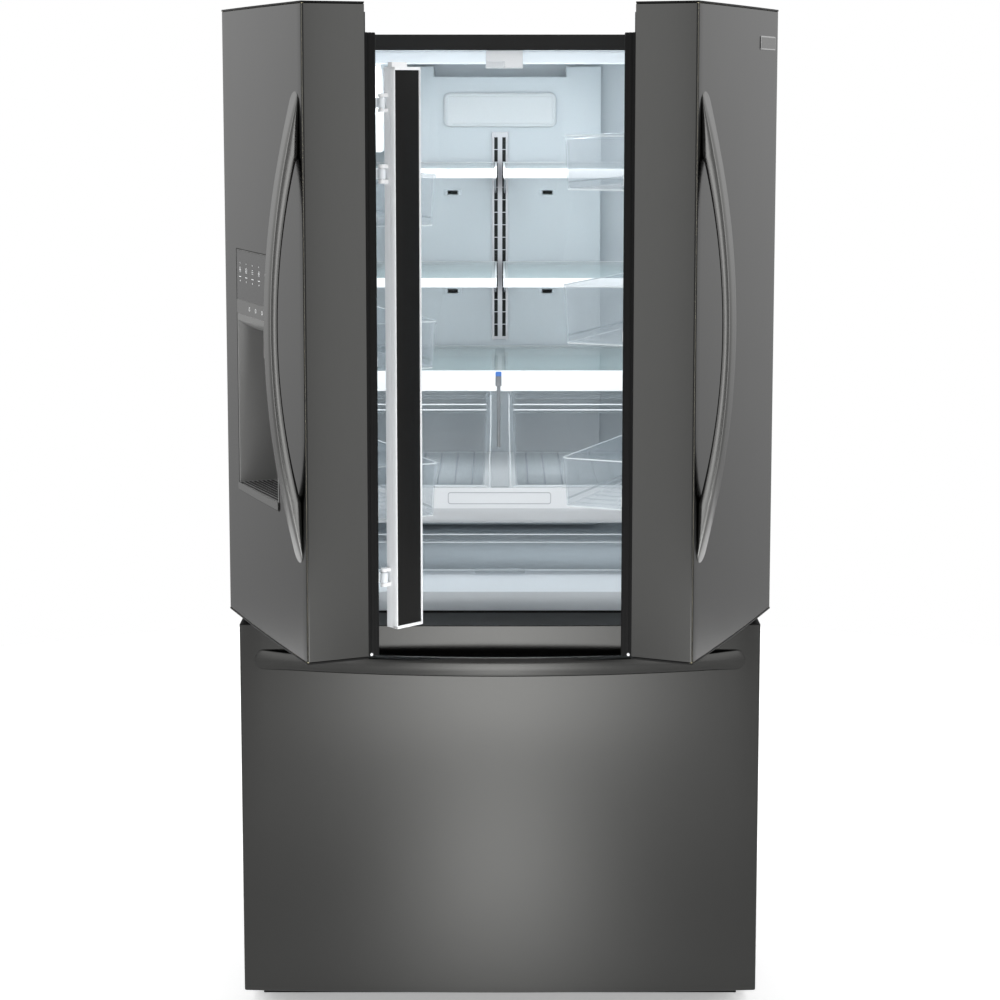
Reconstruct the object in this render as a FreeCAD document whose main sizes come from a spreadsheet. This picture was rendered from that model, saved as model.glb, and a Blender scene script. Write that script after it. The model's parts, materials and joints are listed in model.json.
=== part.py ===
import FreeCAD, Part
import os
import re
import Sketcher
from FreeCAD import Vector

# French door refrigerator with a bottom freezer drawer.
# Millimetres, +Z up, the front faces -Y, +X is the viewer's right. The origin is at the middle of the
# floor footprint with both doors standing open at their rest angle.
# Depths are counted from the cabinet's front flange plane, positive into the cabinet.

DIMS = {
    # cabinet
    "case_w": 908, "case_depth": 740, "case_top": 1738, "case_low": 45, "front_y": -128.4,
    "sheet_t": 1.2, "flange_t": 2, "liner_t": 2, "opening_half": 409,
    "fresh_low": 753, "fresh_top": 1711, "fresh_back": 660,
    "freezer_low": 100, "freezer_top": 690, "freezer_back": 592,
    "step_depth": 500, "step_low": 345, "step_top": 395, "machine_front": 545, "rail_top": 719,
    # doors
    "open_deg": 66.3, "hinge_x": 425.7, "hinge_depth": -70.1, "side_front": -112, "bow": 12,
    "pan_back": -20.8, "door_low": 736.6, "door_top": 1778, "cap_t": 3, "door_gap": 6,
    "gasket_t": 20, "gasket_w": 18, "gasket_side": 428, "gasket_low": 740, "gasket_top": 1731,
    "dike_out": 8, "pin_r": 5, "running_gap": 0.05,
    "grip_x": 37, "grip_w": 34, "grip_low": 896, "grip_top": 1640, "grip_bow": 51.5, "grip_t": 16, "grip_foot": 98,
    # door bins
    "bin_inner": 76, "bin_outer": 386, "bin_front": 133, "bin_t": 2.5,
    # mullion between the doors
    "fold_deg": 111, "mullion_pin_x": 39, "mullion_pin_depth": 20, "mullion_half": 28,
    "mullion_low": 776, "mullion_top": 1678, "mullion_t": 24,
    # dispenser
    "disp_left": 376, "disp_right": 140, "disp_low": 962, "disp_top": 1376, "disp_back": -45,
    "cavity_low": 976, "cavity_top": 1266, "panel_low": 1290.5, "paddle_z": 1205,
    # air duct, filter cover, light and ice maker
    "duct_half": 201, "duct_face": 600, "duct_top": 1689.6, "notch_z": 1669.4, "notch_half": 132,
    "filter_half": 112, "filter_low": 1570.5, "filter_top": 1638, "filter_r": 12,
    "light_half": 330, "light_front": 105, "light_back": 165, "light_low": 1689,
    "ice_outer": 406, "ice_inner": 216, "ice_front": 175, "ice_low": 1530,
    # shelves and drawers in the fresh food space
    "shelf_front": 150, "shelf_back": 592, "shelf_t": 16.6, "upper_shelf": 1501, "middle_shelf": 1302.6,
    "cover_z": 1133, "cover_trim": 37.3, "tray_top": 916, "tray_low": 851.6, "drawer_wall": 2.5,
    "crisper_low": 917, "crisper_top": 1091, "crisper_in": 20, "deli_low": 757, "deli_top": 831,
    # freezer drawer
    "drawer_low": 55.4, "drawer_top": 719.4, "pull_z": 657.5, "pull_w": 35, "pull_half": 428,
    "pull_bow": 51, "slide_z": 320, "slide_end": 480, "frame_inner": 391, "frame_outer": 396,
    "dike_half": 386, "dike_low": 124, "dike_top": 666, "seal_low": 80, "seal_top": 710,
    # feet and machinery
    "roller_r": 20, "roller_depth": 690, "foot_depth": 60, "foot_x": 400,
    "fan_depth": 640, "fan_z": 130, "cold_fan_z": 636, "compressor_x": 230, "compressor_r": 82,
    "valve_x": 385, "inlet_z": 120,
}

doc = FreeCAD.newDocument("refrigerator")
sheet = doc.addObject("Spreadsheet::Sheet", "Dims")
for row, (alias, size) in enumerate(DIMS.items(), start=1):
    sheet.set(f"A{row}", alias.replace("_", " "))
    sheet.set(f"B{row}", str(size))
    sheet.setAlias(f"B{row}", alias)
doc.recompute()

ALIAS = re.compile(r"\b(" + "|".join(DIMS) + r")\b")
NODES = {}

# heights of the mullion's three hinge knuckles
KNUCKLES = (860, 1510, 1622)

# lengths worked out from the driving ones
HALF_W = "case_w / 2"
FRONT_MID = "(side_front - bow)"
BOW_R = "(((case_w / 2)^2 + bow^2) / (2 * bow))"
FOAM_BACK = "case_depth - sheet_t"


# ---------------------------------------------------------------- tools


def bound(text):
    """An expression on the sheet's cells from one written with plain alias names."""
    return ALIAS.sub(r"Dims.\1", f"{text}")


def number(text):
    return float(sheet.evalExpression(f"{text}"))


def at(depth):
    """The y of a depth measured from the flange plane."""
    return f"front_y + ({depth})"


def place(obj, x="0", y="0", z="0", turn=None, axis=(0, 0, 1)):
    obj.Placement = FreeCAD.Placement(Vector(), FreeCAD.Rotation(Vector(*axis), 0))
    for name, text in (("x", x), ("y", y), ("z", z)):
        obj.setExpression(f".Placement.Base.{name}", bound(text))
    if turn is not None:
        obj.Placement = FreeCAD.Placement(Vector(), FreeCAD.Rotation(Vector(*axis), 1))
        obj.setExpression(".Placement.Rotation.Angle", bound(turn))
    return obj


def box(name, x, depth, z):
    """A block from (low, high) expressions: x, depth behind the flange plane, and height."""
    obj = doc.addObject("Part::Box", name)
    for side, (low, high) in (("Length", x), ("Width", depth), ("Height", z)):
        obj.setExpression(side, bound(f"({high}) - ({low})"))
    return place(obj, x[0], at(depth[0]), z[0])


def side_box(name, side, x, depth, z):
    """A block whose x is counted outwards from the middle, to the left (-1) or right (1)."""
    low, high = x
    span = (low, high) if side > 0 else (f"-({high})", f"-({low})")
    return box(name, span, depth, z)


ROUND_AXES = {"x": ((0, 1, 0), "90"), "y": ((1, 0, 0), "-90"), "z": ((0, 0, 1), "0")}


def rod(name, axis, radius, start, length):
    """A cylinder along x, y or z from start (x, depth, z)."""
    obj = doc.addObject("Part::Cylinder", name)
    obj.setExpression("Radius", bound(radius))
    obj.setExpression("Height", bound(length))
    spin, angle = ROUND_AXES[axis]
    x, depth, z = start
    return place(obj, x, at(depth), z, angle, spin)


def cut(name, base, *tools):
    obj = doc.addObject("Part::Cut", name)
    obj.Base = base
    obj.Tool = tools[0] if len(tools) == 1 else fuse(name + "_tools", *tools)
    return obj


def fuse(name, *shapes):
    obj = doc.addObject("Part::MultiFuse", name)
    obj.Shapes = list(shapes)
    return obj


def common(name, first, second):
    obj = doc.addObject("Part::Common", name)
    obj.Base = first
    obj.Tool = second
    return obj


def outline_pad(name, plane, points, low, high):
    """A PartDesign body: an outline on the XY or YZ plane, padded from low to high along its normal.

    A point is (a, b) or (a, b, radius): with a radius, the edge to the next point is an arc whose
    centre lies on the left (positive) or the right (negative) of the way to it."""
    body = doc.addObject("PartDesign::Body", name)
    sketch = body.newObject("Sketcher::SketchObject", name + "_sketch")
    origin = [f for f in body.Origin.OriginFeatures if f.Role == plane + "_Plane"][0]
    sketch.AttachmentSupport = [(origin, "")]
    sketch.MapMode = "FlatFace"
    sketch.setExpression(".AttachmentOffset.Base.z", bound(low))
    flat = [Vector(number(p[0]), number(p[1]), 0) for p in points]
    for i, point in enumerate(points):
        start, end = flat[i], flat[(i + 1) % len(flat)]
        if len(point) == 2:
            sketch.addGeometry(Part.LineSegment(start, end), False)
        else:
            sketch.addGeometry(arc_between(start, end, number(point[2])), False)
    for i, point in enumerate(points):
        follower = (i + 1) % len(points)
        backwards = len(point) == 3 and number(point[2]) < 0
        last = 1 if backwards else 2
        following = points[follower]
        first = 2 if len(following) == 3 and number(following[2]) < 0 else 1
        sketch.addConstraint(Sketcher.Constraint("Coincident", i, last, follower, first))
    for i, point in enumerate(points):
        start = 2 if len(point) == 3 and number(point[2]) < 0 else 1
        for kind, text, size in (("DistanceX", point[0], flat[i].x), ("DistanceY", point[1], flat[i].y)):
            index = sketch.addConstraint(Sketcher.Constraint(kind, -1, 1, i, start, size))
            sketch.setExpression(f"Constraints[{index}]", bound(text))
        if len(point) == 3:
            size = abs(number(point[2]))
            index = sketch.addConstraint(Sketcher.Constraint("Radius", i, size))
            sketch.setExpression(f"Constraints[{index}]", bound(f"abs({point[2]})"))
    pad = body.newObject("PartDesign::Pad", name + "_pad")
    pad.Profile = sketch
    pad.setExpression("Length", bound(f"({high}) - ({low})"))
    return body


def arc_between(start, end, radius):
    """The shorter arc from start to end, with its centre on the left for a positive radius."""
    middle = (start + end) * 0.5
    along = end - start
    left = Vector(-along.y, along.x, 0).normalize()
    reach = (radius * radius - along.Length ** 2 / 4) ** 0.5
    sign = 1 if radius > 0 else -1
    centre = middle + left * (sign * reach)
    crown = centre - left * (sign * abs(radius))
    return Part.Arc(start, crown, end)


def bowed(x, inset="0"):
    """The depth of the doors' bowed front at x, moved inwards by inset."""
    return f"{FRONT_MID} + {BOW_R} - sqrt(({BOW_R} - ({inset}))^2 - ({x})^2)"


def bow_outline(x_low, x_high, back, inset="0"):
    """A plan outline: straight sides and back, and the bowed front moved inwards by inset."""
    return [
        (x_low, at(back)),
        (x_low, at(bowed(x_low, inset)), f"{BOW_R} - ({inset})"),
        (x_high, at(bowed(x_high, inset))),
        (x_high, at(back)),
    ]


def span(side, inner, outer):
    return (inner, outer) if side > 0 else (f"-({outer})", f"-({inner})")


def open_tray(name, x, depth, z, wall):
    """A tray with four walls and a floor, open at the top."""
    shell = box(name + "_shell", x, depth, z)
    inside = box(
        name + "_inside",
        (f"({x[0]}) + {wall}", f"({x[1]}) - {wall}"),
        (f"({depth[0]}) + {wall}", f"({depth[1]}) - {wall}"),
        (f"({z[0]}) + {wall}", f"({z[1]}) + 5"),
    )
    return cut(name, shell, inside)


def keep(name, obj, side=0, folded=False):
    """Registers a finished sub-part; a door's sub-part is swung to its open angle about its pin."""
    obj.Label = name
    if side:
        swing(obj, side, folded)
    NODES[name] = obj
    return obj


def turned(point, centre, angle):
    """Expressions for a point (x, y) turned about a centre by an angle in degrees."""
    dx, dy = f"(({point[0]}) - ({centre[0]}))", f"(({point[1]}) - ({centre[1]}))"
    x = f"({centre[0]}) + {dx} * cos({angle}) - {dy} * sin({angle})"
    y = f"({centre[1]}) + {dx} * sin({angle}) + {dy} * cos({angle})"
    return (x, y)


def swing(obj, side, folded):
    """The left door opens clockwise seen from above, the right door the other way."""
    image = ("0", "0")
    angle = f"{side} * open_deg"
    total = angle
    if folded:
        pin = ("-mullion_pin_x", at("mullion_pin_depth"))
        image = turned(image, pin, "fold_deg")
        total = f"{angle} + fold_deg"
    hinge = (f"{side} * hinge_x", at("hinge_depth"))
    image = turned(image, hinge, angle)
    place(obj, image[0], image[1], "0", total)


# ---------------------------------------------------------------- cabinet


def cabinet_wrapper():
    outer = box(
        "wrapper_outer",
        (f"-{HALF_W}", HALF_W),
        ("flange_t", "case_depth"),
        ("case_low + 3", "case_top"),
    )
    inner = box(
        "wrapper_inner",
        (f"-{HALF_W} + sheet_t", f"{HALF_W} - sheet_t"),
        ("0", FOAM_BACK),
        ("0", "case_top - sheet_t"),
    )
    service = box(
        "wrapper_service",
        (f"-{HALF_W} + sheet_t", f"{HALF_W} - sheet_t"),
        ("case_depth - 50", "case_depth + 5"),
        ("0", "step_low"),
    )
    keep("cabinet_wrapper", cut("wrapper", outer, inner, service))


def freezer_profile(grow):
    """The freezer space from the side, grown by the liner's wall; (depth, z) points."""
    return [
        (at("flange_t"), f"freezer_low - {grow}"),
        (at(f"step_depth + {grow}"), f"freezer_low - {grow}"),
        (at(f"step_depth + {grow}"), f"step_low - 5 + {grow}"),
        (at(f"freezer_back + 56 + {grow}"), f"step_top + {grow} / 2"),
        (at(f"freezer_back + 56 + {grow}"), f"freezer_top + {grow}"),
        (at("flange_t"), f"freezer_top + {grow}"),
    ]


def foam_insulation():
    half = f"{HALF_W} - sheet_t"
    block = box(
        "foam_block",
        (f"-({half})", half),
        ("flange_t", FOAM_BACK),
        ("case_low + 3", "case_top - sheet_t"),
    )
    fresh = box(
        "foam_fresh",
        ("-opening_half - liner_t", "opening_half + liner_t"),
        ("0", "fresh_back + liner_t"),
        ("fresh_low - liner_t", "fresh_top + liner_t"),
    )
    freezer = outline_pad(
        "foam_freezer", "YZ", freezer_profile(
            "liner_t"
        ), "-opening_half - liner_t", "opening_half + liner_t"
    )
    machine = box(
        "foam_machine",
        (f"-{HALF_W}", HALF_W),
        ("machine_front", "case_depth"),
        ("0", "step_low"),
    )
    keep("foam_insulation", cut("foam", block, fresh, freezer, machine))


def fresh_food_liner():
    half = "opening_half"
    outer = box(
        "liner_outer",
        (f"-{half} - liner_t", f"{half} + liner_t"),
        ("flange_t", "fresh_back + liner_t"),
        ("fresh_low - liner_t", "fresh_top + liner_t"),
    )
    apron = box("liner_apron", (f"-{half}", half), ("0", "flange_t"), ("rail_top", "fresh_low"))
    inner = box("liner_inner", (f"-{half}", half), ("-5", "fresh_back"), ("fresh_low", "fresh_top"))
    keep("fresh_food_liner", cut("fresh_liner", fuse("liner_whole", outer, apron), inner))


def freezer_liner():
    outer = outline_pad(
        "freezer_outer", "YZ", freezer_profile(
            "liner_t"
        ), "-opening_half - liner_t", "opening_half + liner_t"
    )
    inner = outline_pad("freezer_inner", "YZ", freezer_profile("0"), "-opening_half", "opening_half")
    keep("freezer_liner", cut("freezer_shell", outer, inner))


def front_frame():
    plate = box("frame_plate", (f"-{HALF_W}", HALF_W), ("0", "flange_t"), ("case_low + 3", "case_top"))
    upper = box(
        "frame_upper",
        ("-opening_half", "opening_half"),
        ("-1", "flange_t + 1"),
        ("rail_top", "fresh_top"),
    )
    lower = box(
        "frame_lower",
        ("-opening_half", "opening_half"),
        ("-1", "flange_t + 1"),
        ("freezer_low", "freezer_top"),
    )
    keep("front_frame", cut("frame_ring", plate, upper, lower))


def top_hinge(side):
    """A bracket on the case's top whose arm reaches forward into a pocket in the door's top."""
    name = f"top_hinge_{side}"
    arm_low, arm_high, arm_half = "door_top - 9.5", "door_top - 5.5", "12"
    base = side_box(name + "_base", side, ("372", "446"), ("5", "85"), ("case_top", "case_top + 4"))
    riser = side_box(
        name + "_riser", side, (
            f"hinge_x - {arm_half}", f"hinge_x + {arm_half}"
        ), ("5", "25"), ("case_top + 4", arm_low)
    )
    arm = side_box(
        name + "_arm", side, (
            f"hinge_x - {arm_half}", f"hinge_x + {arm_half}"
        ), ("hinge_depth", "25"), (arm_low, arm_high)
    )
    centre = (f"{side} * hinge_x", "hinge_depth")
    tip = rod(name + "_tip", "z", arm_half, (*centre, arm_low), f"({arm_high}) - ({arm_low})")
    pin = rod(name + "_pin", "z", "pin_r", (*centre, "door_top - 30"), "22")
    return [base, riser, arm, tip, pin]


def middle_hinge(side):
    """A plate on the flange beside the rail, with an arm between the doors and the drawer."""
    name = f"middle_hinge_{side}"
    plate = side_box(name + "_plate", side, ("432", "452"), ("-4", "0"), ("freezer_top", "731"))
    arm = side_box(name + "_arm", side, ("402", "452"), ("hinge_depth", "-4"), ("725", "731"))
    centre = (f"{side} * hinge_x", "hinge_depth")
    tip = rod(name + "_tip", "z", "26", (*centre, "725"), "6")
    pin = rod(name + "_pin", "z", "pin_r", (*centre, "731"), "24")
    return [plate, arm, tip, pin]


def door_hinges():
    keep("door_hinges", fuse("hinge_set", *[p for s in (-1, 1) for p in top_hinge(s) + middle_hinge(s)]))


def mullion_guide():
    """A block under the ceiling whose slot turns the mullion as the left door shuts."""
    block = box("guide_block", ("-25", "40"), ("6", "75"), ("1680.4", "fresh_top"))
    slot = box("guide_slot", ("-30", "8"), ("5", "21"), ("1675", "1692"))
    keep("mullion_guide", cut("guide", block, slot))


def ceiling_light():
    cover_x, cover_depth = ("-light_half", "light_half"), ("light_front", "light_back")
    keep("ceiling_light", box("light_cover", cover_x, cover_depth, ("light_low", "fresh_top")))


def air_duct_panel():
    """A shallow box on the back wall, notched at the top, with a vent each side below each shelf."""
    through = ("duct_face - 5", "fresh_back + 5")
    outer = box("duct_outer", ("-duct_half", "duct_half"), ("duct_face", "fresh_back"), ("765", "duct_top"))
    inner = box(
        "duct_inner",
        ("-duct_half + 3", "duct_half - 3"),
        ("duct_face + 3", "fresh_back + 5"),
        ("768", "notch_z - 3"),
    )
    top_notch = box("duct_notch", ("-notch_half", "notch_half"), through, ("notch_z", "duct_top + 10"))
    vents = [
        side_box(
            f"duct_vent_{z}_{s}",
            s,
            ("78", "112"),
            ("duct_face - 5", "duct_face + 5"),
            (f"{z}", f"{z + 8}"),
        )
        for z in (1436, 1238, 1047)
        for s in (-1, 1)
    ]
    keep("air_duct_panel", cut("duct", outer, inner, top_notch, *vents))


def air_filter_cover():
    cover_depth = ("duct_face - 10", "duct_face")
    cover = box("filter_block", ("-filter_half", "filter_half"), cover_depth, ("filter_low", "filter_top"))
    rounded = doc.addObject("Part::Fillet", "filter_cover")
    rounded.Base = cover
    doc.recompute()
    ends = [
        (i + 1, number("filter_r"), number("filter_r"))
        for i, e in enumerate(cover.Shape.Edges)
        if abs(e.Vertexes[0].Y - e.Vertexes[-1].Y) > 1
    ]
    rounded.Edges = ends
    keep("air_filter_cover", rounded)


def slotted_track(name, x, face, columns, high):
    """A steel strip with rows of slots that the shelf brackets hook into."""
    low, pitch, slot = 1145, 25, 16
    strip = box(name, (f"{x} - 16", f"{x} + 16"), (f"{face} - 6", f"{face}"), (f"{low}", f"{high}"))
    slots = [
        box(
            f"{name}_slot_{row}_{c}",
            (f"{x} + {c} - 2.5", f"{x} + {c} + 2.5"),
            (f"{face} - 7", f"{face} - 1.5"),
            (f"{low + 9 + row * pitch}", f"{low + 9 + slot + row * pitch}"),
        )
        for row in range((high - low) // pitch)
        for c in columns
    ]
    return cut(name + "_track", strip, *slots)


def shelf_tracks():
    tracks = [slotted_track("middle", "0", "duct_face", (-8, 8), 1560)]
    tracks += [slotted_track(f"side{s + 1}", f"{s} * 392", "fresh_back", (0,), 1524) for s in (-1, 1)]
    keep("shelf_tracks", fuse("track_set", *tracks))


def shelf_bracket(name, side, x, reach, top):
    """A tapered steel arm below the shelf's edge that hooks into a track."""
    points = [
        (at("shelf_front + 50"), f"{top} - shelf_t"),
        (at("shelf_front + 50"), f"{top} - shelf_t - 4"),
        (at(reach), f"{top} - 62"),
        (at(reach), f"{top} - shelf_t"),
    ]
    low, high = span(side, f"{x} - 1.5", f"{x} + 1.5")
    return outline_pad(name, "YZ", points, low, high)


def shelf(side, level):
    """Half a split shelf: a moulded rim round a pane, on two cantilever brackets."""
    name = f"{level}_{'left' if side < 0 else 'right'}"
    outer = side_box(
        name + "_rim",
        side,
        ("6", "403"),
        ("shelf_front", "shelf_back"),
        (f"{level} - shelf_t", level),
    )
    hole = side_box(
        name + "_hole",
        side,
        ("16", "393"),
        ("shelf_front + 14", "shelf_back - 12"),
        (f"{level} - 30", f"{level} + 5"),
    )
    rebate = side_box(
        name + "_seat",
        side,
        ("10", "399"),
        ("shelf_front + 8", "shelf_back - 6"),
        (f"{level} - 5", f"{level} + 5"),
    )
    rim = cut(name + "_ring", outer, hole, rebate)
    inner_arm = shelf_bracket(name + "_inner", side, "9", "594", level)
    outer_arm = shelf_bracket(name + "_outer", side, "388", "fresh_back - 6", level)
    pane = side_box(
        name + "_pane",
        side,
        ("10", "399"),
        ("shelf_front + 8", "shelf_back - 6"),
        (f"{level} - 5", f"{level} - 1"),
    )
    return [rim, inner_arm, outer_arm], pane


def shelves():
    frames, panes = [], []
    for level in ("upper_shelf", "middle_shelf"):
        for side in (-1, 1):
            frame, pane = shelf(side, level)
            frames += frame
            panes.append(pane)
    keep("shelf_frames", fuse("shelf_frame_set", *frames))
    panes.append(
        box(
            "cover_pane",
            ("-397", "397"),
            ("shelf_front + 10", "shelf_back - 8"),
            ("cover_z - 5", "cover_z - 1"),
        ),
    )
    keep("shelf_glass", fuse("pane_set", *panes))


def crisper_cover_frame():
    half, back = "opening_half", "shelf_back"
    ring = box("cover_ring", (f"-{half}", half), ("shelf_front", back), ("cover_z - 20", "cover_z"))
    hole = box(
        "cover_hole",
        ("-385", "385"),
        ("shelf_front + 20", f"{back} - 15"),
        ("cover_z - 50", "cover_z + 5"),
    )
    seat = box(
        "cover_seat",
        ("-397", "397"),
        ("shelf_front + 10", f"{back} - 8"),
        ("cover_z - 5", "cover_z + 5"),
    )
    frame = cut("cover_frame", ring, hole, seat)
    trim = box(
        "cover_trim",
        (f"-{half}", half),
        ("shelf_front", "shelf_front + 10"),
        ("cover_z - cover_trim", "cover_z - 20"),
    )
    spine = box("cover_spine", ("-10", "10"), ("shelf_front", back), ("cover_z - 20", "cover_z - 5"))
    post = box(
        "cover_post",
        ("-16", "16"),
        ("shelf_front + 4", "shelf_front + 16"),
        ("tray_top", "cover_z - 19"),
    )
    keep("crisper_cover_frame", fuse("cover_set", frame, trim, spine, post))


def crisper_tray():
    half = "opening_half"
    fascia = box(
        "tray_fascia",
        (f"-{half}", half),
        ("shelf_front", "shelf_front + 12"),
        ("tray_low", "tray_top"),
    )
    plate = box(
        "tray_plate",
        (f"-{half}", half),
        ("shelf_front + 12", "shelf_back"),
        ("tray_top - 10", "tray_top"),
    )
    keep("crisper_tray", fuse("tray_set", fascia, plate))


def toe_grille():
    plate = box("grille_plate", ("-430", "430"), ("-12", "0"), ("12", "52"))
    slots = [
        box(
            f"grille_slot_{row}",
            ("-400", "400"),
            ("-15", "5"),
            (f"{z}", f"{z + 4}"),
        ) for row, z in enumerate((20, 29, 38))
    ]
    ribs = [
        box(
            f"grille_rib_{n}",
            (f"{x - 4}", f"{x + 4}"),
            ("-10", "0"),
            ("14", "50"),
        ) for n, x in enumerate(range(-360, 361, 72))
    ]
    keep("toe_grille", fuse("grille", cut("grille_cut", plate, *slots), *ribs))


def levelling_legs():
    legs = []
    for side in (-1, 1):
        x = f"{side} * foot_x"
        legs.append(rod(f"leg_pad_{side}", "z", "22", (x, "foot_depth", "0"), "10"))
        legs.append(rod(f"leg_nut_{side}", "z", "13", (x, "foot_depth", "10"), "8"))
        legs.append(rod(f"leg_stud_{side}", "z", "6", (x, "foot_depth", "18"), "case_low - 18"))
    keep("levelling_legs", fuse("leg_set", *legs))


def chassis_tray():
    half = f"{HALF_W} - sheet_t"
    floor = box(
        "chassis_floor",
        (f"-({half})", half),
        ("flange_t", "case_depth - 2"),
        ("case_low", "case_low + 3"),
    )
    parts = [floor]
    for side in (-1, 1):
        parts.append(
            side_box(
                f"chassis_rail_{side}",
                side,
                ("436", "452"),
                ("0", "case_depth - 2"),
                ("24", "case_low"),
            ),
        )
        parts.append(
            side_box(f"chassis_front_{side}", side, ("360", "436"), ("0", "4"), ("24", "case_low"))
        )
        for n, x in enumerate(("foot_x - 17", "foot_x + 14")):
            parts.append(
                side_box(
                    f"roller_cheek_{side}_{n}",
                    side,
                    (x, f"{x} + 3"),
                    ("roller_depth - 14", "roller_depth + 14"),
                    ("8", "case_low"),
                ),
            )
        start = span(side, "foot_x - 17", "foot_x + 17")[0]
        parts.append(rod(f"roller_axle_{side}", "x", "4", (start, "roller_depth", "roller_r"), "34"))
    bridge = box("fan_post", ("35", "47"), ("fan_depth - 10", "fan_depth + 10"), ("case_low + 3", "fan_z"))
    motor = rod("fan_motor", "x", "22", ("20", "fan_depth", "fan_z"), "40")
    shaft = rod("fan_shaft", "x", "3", ("-22", "fan_depth", "fan_z"), "45")
    keep("chassis_tray", fuse("chassis", *parts, bridge, motor, shaft))


def rear_rollers():
    tyres = []
    for side in (-1, 1):
        start = span(side, "foot_x - 13", "foot_x + 13")[0]
        wheel = rod(f"roller_wheel_{side}", "x", "roller_r", (start, "roller_depth", "roller_r"), "26")
        bore = rod(
            f"roller_bore_{side}",
            "x",
            "4 + running_gap",
            (f"{start} - 5", "roller_depth", "roller_r"),
            "40",
        )
        tyres.append(cut(f"roller_{side}", wheel, bore))
    keep("rear_rollers", fuse("roller_set", *tyres))


def fan(name, axis, centre, radius, hub_r, depth, blades=5):
    """A hub with a running bore and flat pitched blades."""
    x, d, z = centre
    half = f"({depth}) / 2"
    start = (f"{x} - {half}", d, z) if axis == "x" else (x, f"{d} - {half}", z)
    hub = rod(name + "_hub", axis, hub_r, start, depth)
    bore = rod(name + "_bore", axis, "3 + running_gap", start, depth)
    vanes = []
    for n in range(blades):
        vane = doc.addObject("Part::Box", f"{name}_vane_{n}")
        vane.setExpression("Length", bound(radius))
        vane.setExpression("Width", bound(f"({hub_r}) * 1.1"))
        vane.Height = 2
        spin = FreeCAD.Rotation(Vector(0, 0, 1), 360 / blades * n)
        pitch = FreeCAD.Rotation(Vector(1, 0, 0), 28)
        lay = FreeCAD.Rotation(Vector(0, 1, 0), 90) if axis == "x" else FreeCAD.Rotation(
            Vector(1, 0, 0), -90
        )
        offset = pitch.multVec(Vector(0, -number(hub_r) * 0.55, -1))
        vane.Placement = FreeCAD.Placement(
            Vector(number(x), number(at(d)), number(z)), lay
        ).multiply(FreeCAD.Placement(spin.multVec(offset), spin.multiply(pitch)))
        vanes.append(vane)
    sweep_start = (f"{x} - 40", d, z) if axis == "x" else (x, f"{d} - 40", z)
    limit = rod(name + "_limit", axis, radius, sweep_start, "80")
    blades_only = common(name + "_vanes", fuse(name + "_fan", *vanes), limit)
    keep(name, cut(name + "_whole", fuse(name + "_solid", hub, blades_only), bore))


def finned_coil(name, x, depths, heights, radius, pitch):
    """Parallel tubes through a row of fins, with an upright header at each end."""
    low, high = x
    pieces = []
    for i, d in enumerate(depths):
        for j, z in enumerate(heights):
            pieces.append(
                rod(f"{name}_tube_{i}_{j}", "x", radius, (f"{low}", f"{d}", f"{z}"), f"{high - low}")
            )
    for n, fin_x in enumerate(range(low + 12, high - 10, pitch)):
        fin_depths = (f"{min(depths) - 10}", f"{max(depths) + 10}")
        pieces.append(
            box(
                f"{name}_fin_{n}",
                (f"{fin_x}", f"{fin_x + 1}"),
                fin_depths,
                (f"{min(heights) - 10}", f"{max(heights) + 10}"),
            ),
        )
    for n, end in enumerate((low - 6, high)):
        header_depths = (f"{min(depths) - 8}", f"{max(depths) + 8}")
        pieces.append(
            box(
                f"{name}_header_{n}",
                (f"{end}", f"{end + 6}"),
                header_depths,
                (f"{min(heights) - 12}", f"{max(heights) + 12}"),
            ),
        )
    keep(name, fuse(name + "_set", *pieces))


def compressor():
    x, depth = "-compressor_x", "fan_depth"
    shell = rod("compressor_shell", "z", "compressor_r", (x, depth, "95"), "95")
    dome = doc.addObject("Part::Ellipsoid", "compressor_dome")
    dome.Radius1, dome.Radius2, dome.Radius3, dome.Angle1 = 38, 82, 82, 0
    place(dome, x, at(depth), "190")
    bowl = rod("compressor_bowl", "z", "70", (x, depth, "72"), "24")
    box_lid = box("compressor_terminal", ("-160", "-136"), ("610", "670"), ("110", "170"))
    feet = [
        rod(f"compressor_foot_{n}", "z", "14", (f"{x} + {dx}", f"{depth} + {dy}", "case_low + 3"), "22")
        for n, (dx, dy) in enumerate(((-88, -62), (88, -62), (-88, 62), (88, 62)))
    ]
    base = box("compressor_base", ("-335", "-125"), ("562", "718"), ("case_low + 25", "case_low + 28"))
    stub = rod("compressor_stub", "z", "5", ("-290", "600", "150"), "110")
    keep("compressor", fuse("compressor_set", shell, dome, bowl, box_lid, base, stub, *feet))


def evaporator_cover():
    """The freezer's rear panel, with return slots below and the fan's ring above."""
    sheet_depth, through = ("freezer_back - 4", "freezer_back"), ("freezer_back - 8", "freezer_back + 4")
    bar_z = ("cold_fan_z - 10", "cold_fan_z + 10")
    panel = box("evaporator_panel", ("-opening_half", "opening_half"), sheet_depth, ("380", "freezer_top"))
    slots = [
        box(f"return_slot_{n}", (f"{x - 20}", f"{x + 20}"), through, ("392", "398"))
        for n, x in enumerate(range(-330, 331, 60))
    ]
    outlets = [
        box(f"outlet_slot_{n}", ("-40", "40"), through, (f"{z}", f"{z + 5}"))
        for n, z in enumerate(range(606, 664, 12))
    ]
    post = box("evaporator_post", ("-60", "60"), ("636", "640"), bar_z)
    motor = rod("evaporator_motor", "y", "14", ("0", "624", "cold_fan_z"), "14")
    legs = [
        side_box(f"evaporator_leg_{s}", s, ("54", "60"), ("freezer_back", "640"), bar_z)
        for s in (-1, 1)
    ]
    shaft = rod("evaporator_shaft", "y", "3", ("0", "604", "cold_fan_z"), "22")
    slotted = cut("evaporator_slots", panel, *slots, *outlets)
    keep("evaporator_cover", fuse("evaporator_panel_set", slotted, post, motor, shaft, *legs))


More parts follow.
